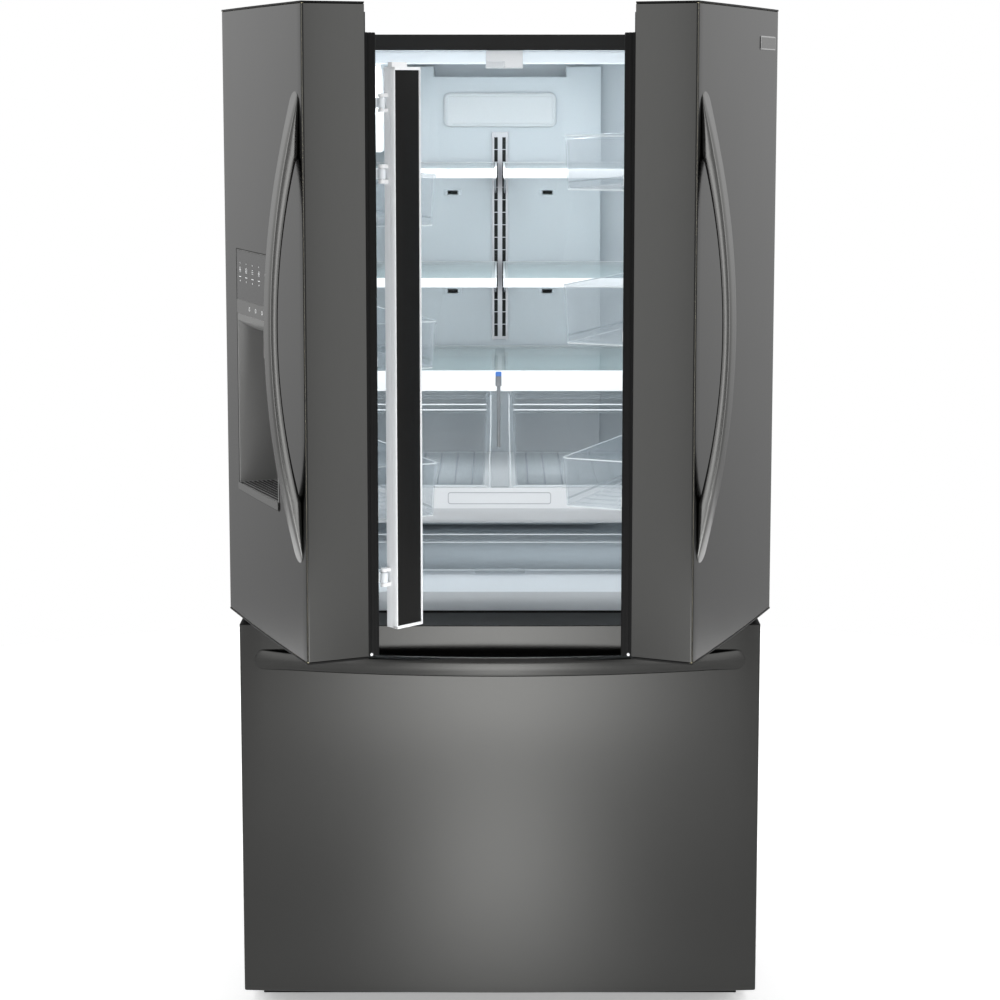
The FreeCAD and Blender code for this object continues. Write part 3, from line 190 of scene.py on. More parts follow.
UPRIGHT_GRAIN = (2600, 2600, 22)
GRIP_GRAIN = (1400, 1400, 60)
ROLLED_GRAIN = (900, 900, 60)
MATERIALS = {
    "black_steel": grained(
        "black_stainless", (0.048, 0.048, 0.0466), 0.2, metal=1.0,
        grain=UPRIGHT_GRAIN, vary=0.03, rough_vary=0.015, bump=0.02, depth=0.03,
    ),
    "handle_steel": grained(
        "handle_stainless", (0.14, 0.14, 0.137), 0.24, metal=1.0,
        grain=GRIP_GRAIN, vary=0.03, rough_vary=0.02, bump=0.02, depth=0.03,
    ),
    "case_steel": grained(
        "case_paint", (0.06, 0.06, 0.062), 0.45, vary=0.1, rough_vary=0.06, bump=0.25, depth=0.15
    ),
    "flange": grained(
        "flange_paint", (0.009, 0.009, 0.0087), 0.45, grain=1200, vary=0.1, bump=0.08, specular=0.28
    ),
    "liner": grained("liner_plastic", (0.74, 0.78, 0.81), 0.3, grain=500, vary=0.012, bump=0.05, depth=0.08),
    "foam": grained("insulating_foam", (0.75, 0.68, 0.45), 0.9, grain=260, vary=0.12, bump=0.6, depth=0.6),
    "gasket": grained("gasket_rubber", (0.005, 0.005, 0.005), 0.55, vary=0.1, rough_vary=0.06, specular=0.1),
    "black_plastic": grained(
        "black_plastic", (0.006, 0.006, 0.0058), 0.5, grain=1400, vary=0.12, bump=0.12, specular=0.13
    ),
    "white_plastic": grained(
        "white_plastic", (0.82, 0.83, 0.84), 0.38, grain=600, vary=0.012, bump=0.06, depth=0.08
    ),
    "clear_plastic": clear("clear_plastic", (0.62, 0.7, 0.75), 0.05, 0.5),
    "pane": clear("shelf_glass", (0.6, 0.75, 0.76), 0.1, 0.6, rough=0.03),
    "light_cover": glowing("light_cover", (0.9, 0.94, 0.97), 0.08),
    "zinc_steel": grained("zinc_steel", (0.5, 0.5, 0.52), 0.36, metal=1.0, grain=ROLLED_GRAIN, bump=0.08),
    "chassis_steel": grained(
        "chassis_paint", (0.03, 0.03, 0.031), 0.5, grain=700, vary=0.12, rough_vary=0.06, bump=0.3, depth=0.15
    ),
    "compressor_steel": grained(
        "compressor_paint", (0.015, 0.015, 0.016), 0.3, grain=400, vary=0.1, bump=0.15, depth=0.2
    ),
    "coil": grained("coil_aluminium", (0.62, 0.63, 0.65), 0.35, metal=1.0, rough_vary=0.06, depth=0.08),
    "panel_glass": grained(
        "panel_glass", (0.016, 0.016, 0.0158), 0.22,
        grain=1200, vary=0.04, rough_vary=0.03, bump=0.02, depth=0.03,
    ),
    "dispenser_plastic": grained(
        "dispenser_plastic", (0.17, 0.17, 0.167), 0.36, metal=0.2, rough_vary=0.04, bump=0.06
    ),
    "grey_plastic": grained("grey_plastic", (0.22, 0.22, 0.22), 0.42, vary=0.06, bump=0.15, depth=0.08),
    "foot_rubber": grained(
        "foot_rubber", (0.02, 0.02, 0.02), 0.7, grain=700, vary=0.1, rough_vary=0.08, bump=0.3, depth=0.15
    ),
}
# Bright metal: real trim on the badge frame, and a painted highlight on the dispenser's brow.
TRIM_AND_PAINTED_HIGHLIGHT = grained(
    "bright_trim_and_painted_highlight", (0.45, 0.45, 0.45), 0.25, metal=1.0,
    grain=1400, vary=0.02, rough_vary=0.03, bump=0.02, depth=0.03,
)
SCREW_STEEL = grained("screw_steel", (0.35, 0.35, 0.36), 0.3, metal=1.0, grain=1500, bump=0.05, depth=0.04)
MARK_PAINT = grained(
    "mark_paint", (0.9, 0.91, 0.92), 0.4, grain=1500, vary=0.03, rough_vary=0.03, bump=0.04, depth=0.03
)
CLEAR_EDGE = clear("clear_edge", (0.86, 0.9, 0.92), 0.7, 0.95)
# Grey for the label's border: painted shade in the groove round the label.
LABEL_GROOVE_SHADE = grained("label_groove_painted_shade", (0.42, 0.43, 0.45), 0.45, vary=0.02, rough_vary=0.03, bump=0.04, depth=0.04)
# The tray's pale plastic made darker for its lower lip: painted shade.
PAINTED_SHADE_LIP = grained("lip_painted_shade", (0.56, 0.57, 0.58), 0.42, grain=600, vary=0.012, bump=0.06, depth=0.08)
ROD_GREY = grained("rod_grey", (0.14, 0.15, 0.16), 0.3, vary=0.03, rough_vary=0.03, bump=0.03, depth=0.04)
ROD_BLUE = grained("rod_blue", (0.03, 0.13, 0.42), 0.3, vary=0.03, rough_vary=0.03, bump=0.03, depth=0.04)
# Black for slots and openings: painted shade, standing for the dark inside real openings.
SHADOW_BLACK = grained("slot_painted_shade", (0.008, 0.008, 0.008), 0.8, vary=0.1, depth=0.1)

for node, obj in NODES.items():
    for holder in obj.material_slots:
        holder.material = MATERIALS[SLOT_OF[node]]


# ------------------------------ mesh tools


def circle(steps):
    """The (cosine, sine) of the angles of a full turn."""
    turns = [2 * math.pi * k / steps for k in range(steps)]
    return [(math.cos(a), math.sin(a)) for a in turns]


def quarter(steps):
    """How far a rounded corner of radius 1 has left its two edges, from one end to the other."""
    turns = [math.radians(90 * k / steps) for k in range(steps + 1)]
    return [(1 - math.cos(a), 1 - math.sin(a)) for a in turns]


def link(obj):
    bpy.context.scene.collection.objects.link(obj)


def finish_piece(name, bm, body, slot, turn=None, material=None, smooth=35, stands_for=()):
    """Turns a bmesh into a piece that rides on a body."""
    bmesh.ops.remove_doubles(bm, verts=bm.verts, dist=1e-6)
    bmesh.ops.recalc_face_normals(bm, faces=bm.faces)
    if turn is not None:
        bm.transform(turn)
    for face in bm.faces:
        face.smooth = True
    for edge in bm.edges:
        edge.smooth = not edge.is_manifold or edge.calc_face_angle(0) < math.radians(smooth)
    mesh = bpy.data.meshes.new(name)
    bm.to_mesh(mesh)
    bm.free()
    mesh.materials.append(material or MATERIALS[slot])
    piece = bpy.data.objects.new(name, mesh)
    link(piece)
    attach(piece, body)
    if stands_for:
        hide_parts(*stands_for)
    return piece


def round_edges(bm, edges, width, segments):
    bmesh.ops.bevel(
        bm, geom=edges, offset=width, segments=segments, profile=0.5, affect="EDGES", clamp_overlap=True
    )


def add_box(bm, low, high, bevel=0.0, segments=3):
    """A block with rounded edges."""
    part = bmesh.new()
    bmesh.ops.create_cube(part, size=1.0)
    size = Vector(high) - Vector(low)
    bmesh.ops.scale(part, vec=size, verts=part.verts)
    bmesh.ops.translate(part, vec=(Vector(high) + Vector(low)) / 2, verts=part.verts)
    if bevel:
        round_edges(part, part.edges[:], bevel, segments)
    mesh = bpy.data.meshes.new("part")
    part.to_mesh(mesh)
    part.free()
    bm.from_mesh(mesh)
    bpy.data.meshes.remove(mesh)


def add_rings(bm, rings, loop=False):
    """Faces between rings of equally many points; the ends are filled, or joined into a loop."""
    made = [[bm.verts.new(p) for p in ring] for ring in rings]
    count = len(made[0])
    pairs = list(zip(made, made[1:])) + ([(made[-1], made[0])] if loop else [])
    for a, b in pairs:
        for i in range(count):
            j = (i + 1) % count
            bm.faces.new((a[i], a[j], b[j], b[i]))
    if not loop:
        bm.faces.new(made[0])
        bm.faces.new(made[-1])


def ring_piece(name, rings, body, slot, loop=False, **more):
    """A piece made of one run of rings."""
    bm = bmesh.new()
    add_rings(bm, rings, loop)
    return finish_piece(name, bm, body, slot, **more)


def rounded(low, high, inset, height, radius, steps=5):
    """The points of a rounded rectangle, pulled in by inset, in the plane at that height."""
    x0, x1, y0, y1 = low[0] + inset, high[0] - inset, low[1] + inset, high[1] - inset
    r = max(0.0002, min(radius - inset, (x1 - x0) / 2 - 1e-5, (y1 - y0) / 2 - 1e-5))
    corners = ((x1 - r, y1 - r, 0), (x0 + r, y1 - r, 90), (x0 + r, y0 + r, 180), (x1 - r, y0 + r, 270))
    points = []
    for cx, cy, start in corners:
        for k in range(steps + 1):
            a = math.radians(start + 90 * k / steps)
            points.append(Vector((cx + r * math.cos(a), cy + r * math.sin(a), height)))
    return points


def upright(low, high, inset, y, radius, steps=5):
    """A rounded rectangle stood up in the plane at that y; low and high are (x, z) corners."""
    return [Vector((p.x, y, p.y)) for p in rounded(low, high, inset, 0, radius, steps)]


def add_tray(bm, low, high, wall, radius, draft, rim, rim_high, edge=0.003):
    """An open tray: drafted walls, rounded corners, and a lip that stands proud at the top."""
    z0, z1 = low[2], high[2]
    profile = [
        (draft + rim + edge, z0),
        (draft + rim, z0 + edge),
        (rim, z1 - rim_high),
        (0, z1 - rim_high + 0.001),
        (0, z1 - 0.0006),
        (0.0006, z1),
        (rim + wall - 0.0006, z1),
        (rim + wall, z1 - 0.0006),
        (draft + rim + wall, z0 + wall + edge),
        (draft + rim + wall + edge, z0 + wall),
    ]
    add_rings(bm, [rounded(low, high, inset, z, radius) for inset, z in profile])


def add_hoop(bm, low, high, z0, z1, radius, inset, thick):
    """A thin flat band that follows a rounded rectangle."""
    profile = ((inset, z0), (inset, z1), (inset + thick, z1), (inset + thick, z0))
    add_rings(bm, [rounded(low, high, gap, z, radius) for gap, z in profile], loop=True)


def add_ribs(bm, low, high, count, margin, half, bottom, top):
    """Ribs from front to back, evenly spread across a tray's floor."""
    for k in range(1, count):
        x = low.x + (high.x - low.x) * k / count
        add_box(bm, (x - half, low.y + margin, bottom), (x + half, high.y - margin, top))


def add_lathe(bm, centre, axis, profile, steps):
    """A turned shape: (radius, distance along the axis) points in millimetres, closed at both ends."""
    side = Vector(axis).orthogonal().normalized()
    up = Vector(axis).normalized()
    other = up.cross(side)
    spokes = [side * c + other * s for c, s in circle(steps)]
    rings = []
    for radius, along in profile:
        middle = Vector(centre) + up * (along * MM)
        rings.append([middle + spoke * max(radius * MM, 1e-5) for spoke in spokes])
    add_rings(bm, rings)


def carve(piece, low, high, turn):
    """Cuts a block out of a piece."""
    bm = bmesh.new()
    add_box(bm, low, high)
    bm.transform(turn)
    mesh = bpy.data.meshes.new("cutter")
    bm.to_mesh(mesh)
    bm.free()
    cutter = bpy.data.objects.new("cutter", mesh)
    link(cutter)
    change = piece.modifiers.new("carve", "BOOLEAN")
    change.object, change.operation, change.solver = cutter, "DIFFERENCE", "EXACT"
    depsgraph = bpy.context.evaluated_depsgraph_get()
    result = bpy.data.meshes.new_from_object(piece.evaluated_get(depsgraph))
    old = piece.data
    piece.modifiers.clear()
    piece.data = result
    bpy.data.meshes.remove(old)
    bpy.data.objects.remove(cutter)


def soften(node, width, body, segments=3, inset=None, inset_slot=None):
    """A copy of a CAD node with rounded edges, which stands for the node.

    Faces for which inset is true of their middle become a piece of their own with the other finish."""
    bm = bmesh.new()
    bm.from_mesh(NODES[node].data)
    bmesh.ops.remove_doubles(bm, verts=bm.verts, dist=1e-6)
    bmesh.ops.dissolve_limit(bm, angle_limit=math.radians(0.6), verts=bm.verts, edges=bm.edges)
    sharp = [e for e in bm.edges if e.is_manifold and e.calc_face_angle(0) > math.radians(30)]
    round_edges(bm, sharp, width, segments)
    if inset:
        other = bm.copy()
        outside = [f for f in other.faces if not inset(f.calc_center_median())]
        inside = [f for f in bm.faces if inset(f.calc_center_median())]
        bmesh.ops.delete(other, geom=outside, context="FACES")
        bmesh.ops.delete(bm, geom=inside, context="FACES")
        finish_piece(node + "_inset", other, body, inset_slot, smooth=40)
    finish_piece(node + "_finish", bm, body, SLOT_OF[node], smooth=40, stands_for=(node,))


# ------------------------------ doors and drawer


def bowed_skin(name, node, body, turn, corner=4 * MM, lip=1.2 * MM):
    """A folded steel front: bowed face, rounded upright edges and a small bevel round its ends."""
    low, high = box_of(node, turn)
    back = high.y
    outline = [Vector((low.x, back, 0))]
    for side, x_edge in ((1, low.x), (-1, high.x)):
        face = bow_y(x_edge + side * corner)
        arc = [Vector((x_edge + side * corner * a, face + corner * b, 0)) for a, b in quarter(6)]
        if side > 0:
            outline += arc
            count = 24
            for k in range(1, count):
                x = low.x + corner + (high.x - low.x - 2 * corner) * k / count
                outline.append(Vector((x, bow_y(x), 0)))
        else:
            outline += reversed(arc)
    outline.append(Vector((high.x, back, 0)))
    middle = Vector(((low.x + high.x) / 2, (back + BOW_MID) / 2, 0))

    def level(z, inset):
        ring = []
        for p in outline:
            away = middle - p
            pull = [math.copysign(min(inset, abs(part)), part) for part in away[:2]]
            ring.append(p + Vector((*pull, z)))
        return ring

    rings = [level(low.z, lip), level(low.z + lip, 0), level(high.z - lip, 0), level(high.z, lip)]
    return ring_piece(name, rings, body, "black_steel", turn=turn, smooth=30, stands_for=(node,))


def door_skins():
    """Both steel fronts, with a pocket for the top bracket and the left one's opening for the dispenser."""
    pocket_in, pocket_front, pocket_floor, past = 14 * MM, 34 * MM, 8 * MM, 5 * MM
    for side in SIDES:
        turn = TURN[side]
        piece = bowed_skin(f"{side}_door_front", f"{side}_door_skin", f"{side}_door", turn)
        low, high = shut_box(f"{side}_door_skin", turn)
        pin = Vector(JOINTS[f"{side}_door_hinge"]["pos_m"])
        xs = (pin.x - pocket_in, high.x + past) if side == "right" else (low.x - past, pin.x + pocket_in)
        pocket_low = (xs[0], pin.y - pocket_front, high.z - pocket_floor)
        carve(piece, pocket_low, (xs[1], high.y + past, high.z + past), turn)
        if side == "left":
            hole_low, hole_high = shut_box("dispenser_housing", turn)
            gap, ahead = Vector((0.4 * MM, 0, 0.4 * MM)), Vector((0, 60 * MM, 0))
            carve(piece, hole_low - gap - ahead, hole_high + gap, turn)


def drawer_cap():
    """The drawer's black top edge, seen between the doors and the drawer."""
    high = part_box("freezer_drawer_skin")[1]
    reach = high.x - 0.4 * MM
    across = [reach * (k / 12 - 1) for k in range(25)]
    rings = []
    for pull, rise in ((0.6, -2.6), (0.3, -1.0), (0.3, -0.2), (1.2, 0.5)):
        inset, z = pull * MM, high.z + rise * MM
        ring = [Vector((x * (1 - inset), bow_y(x) + inset, z)) for x in across]
        rings.append(ring + [Vector((x, high.y - inset, z)) for x in (reach, -reach)])
    ring_piece("drawer_top_cap", rings, "freezer_drawer", "black_plastic", smooth=30)


def section(half_width, low, high, power, steps=28):
    """A rounded section as (across, out) points; a higher power makes it squarer."""
    points = []
    for c, s in circle(steps):
        across = half_width * math.copysign(abs(c) ** (2 / power), c)
        out = (low + high) / 2 + (high - low) / 2 * math.copysign(abs(s) ** (2 / power), s)
        points.append((across, out))
    return points


def arc_height(rise, half, s):
    """How far an arc of that rise over a chord of that half length stands out at s."""
    radius = (half * half + rise * rise) / (2 * rise)
    return math.sqrt(max(0.0, radius**2 - s * s)) - radius + rise


def arched_grip(name, body, node, half, rise, foot, width, place, turn=None, power=4.0, material=None):
    """A grip that springs from the face and returns to it.

    half and rise are its arch, foot is how long each end lies on the face, and place maps
    (along, across, out) to a point."""
    stations, thick, tip, sunk = 72, 16 * MM, 16 * MM, -1.5 * MM
    inner_half, inner_rise = half - foot, rise - thick
    rings = []
    for k in range(stations + 1):
        t = -1 + 2 * k / stations
        s = half * math.sin(t * math.pi / 2) * 0.9995
        high = arc_height(rise, half, s)
        low = max(arc_height(inner_rise, inner_half, s), sunk) if abs(s) < inner_half else sunk
        over = max(0.0, abs(s) - (half - tip)) / tip
        wide = width / 2 * math.sqrt(max(0.02, 1 - over**2))
        outline = section(wide, low, max(high, low + 0.8 * MM), power)
        rings.append([place(s, across, out) for across, out in outline])
    ring_piece(
        name, rings, body, "handle_steel", turn=turn, material=material, smooth=60, stands_for=(node,)
    )


def door_grips():
    for side in SIDES:
        low, high = shut_box(f"{side}_door_handle", TURN[side])
        centre = (low + high) / 2

        def place(s, across, out):
            return Vector((centre.x + across, high.y - out, centre.z + s))

        arched_grip(
            f"{side}_door_grip", f"{side}_door", f"{side}_door_handle",
            (high.z - low.z) / 2, high.y - low.y, 98 * MM, high.x - low.x, place, TURN[side],
        )


def drawer_grip():
    low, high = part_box("freezer_drawer_handle")
    half = (high.x - low.x) / 2
    face = bow_y(half)
    centre = (low + high) / 2

    def place(s, across, out):
        return Vector((s, min(face - out, bow_y(s) + 1.5 * MM), centre.z + across))

    arched_grip(
        "drawer_grip", "freezer_drawer", "freezer_drawer_handle",
        half, face - low.y, 70 * MM, high.z - low.z, place, power=2.8, material=MATERIALS["black_steel"],
    )


# The seal's section as shares of its width (inwards) and of its depth (towards the cabinet).
GASKET_PROFILE = (
    (0, 0), (0, 0.2), (0.06, 0.26), (0.02, 0.34), (0, 0.5), (0.05, 0.62), (0.01, 0.72), (0.02, 0.9),
    (0.1, 0.98), (0.3, 1), (0.6, 0.97), (0.74, 0.86), (0.8, 0.7), (0.72, 0.56), (0.86, 0.46), (0.98, 0.34),
    (1, 0.2), (1, 0),
)


def gasket(node, body, turn=None, wide=18 * MM):
    """A door seal: a folded rubber section led round the door's inner edge."""
    low, high = box_of(node, turn)
    deep = high.y - low.y
    rings = []
    for x_edge, inwards, z_edge, upwards in (
        (low.x, 1, low.z, 1), (high.x, -1, low.z, 1), (high.x, -1, high.z, -1), (low.x, 1, high.z, -1),
    ):
        ring = []
        for across, out in GASKET_PROFILE:
            x, z = x_edge + inwards * across * wide, z_edge + upwards * across * wide
            ring.append(Vector((x, low.y + out * deep, z)))
        rings.append(ring)
    ring_piece(node + "_seal", rings, body, "gasket", loop=True, turn=turn, smooth=50, stands_for=(node,))


def seal_studs():
    """A small white plug in the lower free corner of each door's seal."""
    profile = ((2.6, 0), (2.6, 2), (2.1, 3), (1.1, 3.6))
    for side, sign in SIDES.items():
        low, high = shut_box(f"{side}_door_gasket", TURN[side])
        x = low.x + 3 * MM if side == "right" else high.x - 3 * MM
        bm = bmesh.new()
        add_lathe(bm, (x - sign * 1.0 * MM, low.y + 4 * MM, low.z + 3 * MM), (-sign, 0, 0), profile, 16)
        finish_piece(f"{side}_seal_stud", bm, f"{side}_door", "white_plastic", TURN[side])


def door_badge():
    """A blank name plate near the right door's hinge side."""
    high = shut_box("right_door_skin", TURN["right"])[1]
    wide, tall, proud = 93 * MM, 23 * MM, 1.6 * MM
    centre = Vector((high.x - 24 * MM - wide / 2, 0, high.z - 43 * MM - tall / 2))
    for name, inset, depth, slot, paint in (
        ("badge_frame", 0, proud, "handle_steel", TRIM_AND_PAINTED_HIGHLIGHT),
        ("badge_plate", 2.2 * MM, proud + 0.25 * MM, "black_steel", MATERIALS["handle_steel"]),
    ):
        rings = []
        for extra, out in ((0, -0.5 * MM), (0, depth - 0.4 * MM), (0.4 * MM, depth)):
            flat = rounded((-wide / 2, -tall / 2), (wide / 2, tall / 2), inset + extra, 0, 2.5 * MM)
            rings.append([on_door_face(centre.x + p.x, centre.z + p.y, out) for p in flat])
        ring_piece(name, rings, "right_door", slot, turn=TURN["right"], material=paint)


def bin_levels(side):
    """The (bottom, top) of each of a door's bins, from the heights at which their points lie."""
    heights = sorted({round(p.z, 4) for p in shut_points(f"{side}_door_bins", TURN[side])})
    tallest_bin = 0.15
    groups = [[heights[0]]]
    for z in heights[1:]:
        if z - groups[-1][0] > tallest_bin:
            groups.append([z])
        else:
            groups[-1].append(z)
    return [(group[0], group[-1]) for group in groups]


def door_inside(side):
    """Storage on the door's inner face: clear bins with thick lips, and the lugs they hang on."""
    turn, body, node = TURN[side], f"{side}_door", f"{side}_door_bins"
    low, high = shut_box(node, turn)
    bins, lugs = bmesh.new(), bmesh.new()
    margin = 16 * MM
    for z0, z1 in bin_levels(side):
        tray_low, tray_high = (low.x, low.y + 0.3 * MM, z0), (high.x, high.y, z1)
        add_tray(bins, tray_low, tray_high, 2.6 * MM, 14 * MM, 5 * MM, 1.6 * MM, 7 * MM)
        add_ribs(bins, low, high, 8, margin, 0.8 * MM, z0 + 2.4 * MM, z0 + 4.4 * MM)
        bar_low = (low.x + margin, high.y - 9 * MM, z0 + 12 * MM)
        add_box(bins, bar_low, (high.x - margin, high.y - 6.2 * MM, z0 + 15 * MM), 0.6 * MM, 2)
        for x in (low.x - 1.5 * MM, high.x + 1.5 * MM):
            lug_low = (x - 5 * MM, low.y - 6 * MM, z0 + 8 * MM)
            add_box(lugs, lug_low, (x + 5 * MM, low.y + 16 * MM, z0 + 26 * MM), 2.2 * MM)
    finish_piece(node + "_moulded", bins, body, "clear_plastic", turn, smooth=40, stands_for=(node,))
    finish_piece(f"{side}_bin_lugs", lugs, body, "white_plastic", turn)


def hinge_covers():
    """Moulded covers over the top brackets, each with a screw cap."""
    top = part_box("cabinet_wrapper")[1].z
    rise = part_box("door_hinges")[1].z + 3.2 * MM - top
    profile = ((0, 0), (0.2 * MM, 0.55), (2.5 * MM, 0.86), (6 * MM, 0.98), (12 * MM, 1))
    for side, sign in SIDES.items():
        pin = Vector(JOINTS[f"{side}_door_hinge"]["pos_m"])
        x0, x1 = sorted((sign * 366 * MM, sign * 449 * MM))
        low, high = (x0, FLANGE + 3 * MM), (x1, FLANGE + 92 * MM)
        bm = bmesh.new()
        add_rings(bm, [rounded(low, high, inset, top + rise * up, 12 * MM) for inset, up in profile])
        cap = (pin.x, FLANGE + 70 * MM, top + rise - 0.4 * MM)
        add_lathe(bm, cap, (0, 0, 1), ((4, 0), (3.6, 0.9), (2, 1.2)), 16)
        finish_piece(f"{side}_hinge_cover", bm, "cabinet", "black_plastic")


# ------------------------------ dispenser


def on_door_face(x, z, out):
    return Vector((x, bow_y(x) - out, z))


def add_patch(bm, x0, x1, z0, z1, out0, out1, columns=12):
    """A thin plate that follows the bowed face."""
    rings = []
    for k in range(columns + 1):
        x = x0 + (x1 - x0) * k / columns
        rings.append([on_door_face(x, z, out) for z, out in ((z0, out0), (z1, out0), (z1, out1), (z0, out1))])
    add_rings(bm, rings)


def add_ring_mark(bm, x, z, radius, thick, out):
    profile = ((radius - thick, 0), (radius, 0), (radius, out), (radius - thick, out))
    rings = [[on_door_face(x + r * c, z + r * s, o) for r, o in profile] for c, s in circle(20)]
    add_rings(bm, rings, loop=True)


def add_bar_mark(bm, x, z, length, thick, angle, out):
    c, s = math.cos(math.radians(angle)), math.sin(math.radians(angle))
    a, b = length / 2, thick / 2
    flat = [(x + u * c - v * s, z + u * s + v * c) for u, v in ((-a, -b), (a, -b), (a, b), (-a, b))]
    add_rings(bm, [[on_door_face(px, pz, o) for px, pz in flat] for o in (0, out)])


def dispenser_marks():
    """Small plain signs on the control panel: rings, bars and stars, and buttons on the strip below it."""
    turn = TURN["left"]
    low, high = shut_box("dispenser_panel", turn)
    out, thin = 0.25 * MM, 0.8 * MM
    wide = high.x - low.x
    bm = bmesh.new()
    for column in range(6):
        x = low.x + wide * (0.09 + 0.165 * column)
        z = high.z - 32 * MM
        if column % 3 == 0:
            for k in range(3):
                add_bar_mark(bm, x, z, 10 * MM, thin, 60 * k, out)
        elif column % 3 == 1:
            add_ring_mark(bm, x, z, 4.6 * MM, thin, out)
            add_bar_mark(bm, x, z, 4 * MM, thin, 90, out)
        else:
            for k in (-1, 0, 1):
                add_bar_mark(bm, x, z + k * 3 * MM, (9 - 2 * abs(k)) * MM, thin, 0, out)
        add_bar_mark(bm, x, z - 12 * MM, 12 * MM, 1.1 * MM, 0, out)
        add_ring_mark(bm, x, z - 19 * MM, 1.3 * MM, 0.8 * MM, out)
        add_ring_mark(bm, x, z + 11 * MM, 1.1 * MM, 0.7 * MM, out)
    button_z = low.z - 12 * MM
    for share in (0.34, 0.5, 0.66):
        add_ring_mark(bm, low.x + wide * share, button_z, 3.4 * MM, thin, 0.9 * MM)
    finish_piece("dispenser_marks", bm, "left_door", "panel_glass", turn, material=MARK_PAINT, smooth=20)


def dispenser_trim():
    """The strip below the control panel, the brow, the drip grille and lip, a thin bezel and the chute. The brow's
    bright metal is a painted highlight on the housing's curved underside, and the grille's black slots are painted
    shade.
    """
    turn, body = TURN["left"], "left_door"
    hole_low, hole_high = shut_box("dispenser_housing", turn)
    x0, x1 = hole_low.x, hole_high.x
    strip_top = shut_box("dispenser_panel", turn)[0].z - 0.8 * MM
    strip_low = strip_top - 23.2 * MM
    strip = bmesh.new()
    add_patch(strip, x0 + 1 * MM, x1 - 1 * MM, strip_low, strip_top, -2 * MM, 0.7 * MM)
    finish_piece("dispenser_strip", strip, body, "handle_steel", turn)
    rings, steps = [], 16
    for k in range(steps + 1):
        x = x0 + 2 * MM + (x1 - x0 - 4 * MM) * k / steps
        edge = strip_low - (1.5 + 8.5 * math.sin(math.pi * k / steps)) * MM
        profile = ((strip_low, 0.4 * MM), (edge, -3 * MM), (edge, -9 * MM), (strip_low, -9 * MM))
        rings.append([on_door_face(x, z, out) for z, out in profile])
    # The brow's curved shape is the housing's underside; its bright metal is a painted highlight on it.
    ring_piece("dispenser_brow", rings, body, "handle_steel", turn=turn, material=TRIM_AND_PAINTED_HIGHLIGHT)
    tray_low, tray_high = shut_box("drip_tray", turn)
    grille, slots = bmesh.new(), 9
    for k in range(1, slots):
        y = tray_low.y + (tray_high.y - tray_low.y) * k / slots
        slot_low = (x0 + 12 * MM, y - 2 * MM, tray_high.z - 0.6 * MM)
        add_box(grille, slot_low, (x1 - 12 * MM, y + 2 * MM, tray_high.z + 0.5 * MM))
    # The grille's black slots are painted shade in its openings.
    finish_piece("drip_grille_shade", grille, body, "dispenser_plastic", turn, material=SHADOW_BLACK)
    lip = bmesh.new()
    lip_low, lip_top = hole_low.z + 0.6 * MM, tray_high.z - 0.4 * MM
    add_patch(lip, x0 + 0.2 * MM, x1 - 0.2 * MM, lip_low, lip_top, -2 * MM, 2.4 * MM)
    finish_piece("dispenser_lip", lip, body, "grey_plastic", turn, material=MATERIALS["handle_steel"])
    bezel = bmesh.new()
    edge, lap, sunk, out = 1.1 * MM, 0.2 * MM, -1 * MM, 0.5 * MM
    for z0, z1 in ((hole_low.z - edge, hole_low.z + lap), (hole_high.z - lap, hole_high.z + edge)):
        add_patch(bezel, x0 - edge, x1 + edge, z0, z1, sunk, out)
    for a, b in ((x0 - edge, x0 + lap), (x1 - lap, x1 + edge)):
        add_patch(bezel, a, b, hole_low.z, hole_high.z, sunk, out, 2)
    black = MATERIALS["black_plastic"]
    finish_piece("dispenser_bezel", bezel, body, "dispenser_plastic", turn, material=black)
    pin = turn.inverted() @ Vector(JOINTS["paddle_hinge"]["pos_m"])
    chute = bmesh.new()
    profile = ((15, 40), (15.5, 12), (11, 4), (8.5, -6), (7.5, -7), (6, -6), (7, 2))
    add_lathe(chute, (pin.x, pin.y + 16 * MM, pin.z), (0, 0, 1), profile, 32)
    finish_piece("dispenser_chute", chute, body, "black_plastic", turn)


# ------------------------------ mullion


def mullion_finish():
    """The flap's white frame round its face plate, and screws on the other side."""
    turn = TURN["mullion"]
    low, high = shut_box("mullion_bar", turn)
    plate_low, plate_high = shut_box("mullion_plate", turn)
    bm = bmesh.new()
    face, deep, half, edge, end = plate_low.y - 1.3 * MM, 12 * MM, 28.2 * MM, 1.7 * MM, 5 * MM
    z0, z1 = low.z - 0.6 * MM, plate_high.z + 4.2 * MM
    for a, b, bottom, top in (
        (-half, edge - half, z0, z1),
        (half - edge, half, z0, z1),
        (-half, half, z0, z0 + end),
        (-half, half, z1 - end, z1),
    ):
        add_box(bm, (a, face, bottom), (b, face + deep, top), 0.8 * MM)
    profile = ((4.5, -1), (4.5, 0.2), (3.5, 0.45), (1, 0.3))
    for k in range(5):
        z = plate_low.z + (plate_high.z - plate_low.z) * (0.1 + 0.2 * k)
        add_lathe(bm, (0, high.y - 0.5 * MM, z), (0, 1, 0), profile, 20)
    finish_piece("mullion_ends", bm, "mullion", "white_plastic", turn)
    soften("mullion_bar", 1.6 * MM, "mullion")
    soften("mullion_plate", 0.3 * MM, "mullion", segments=2)


# ------------------------------ inside of the fresh food space


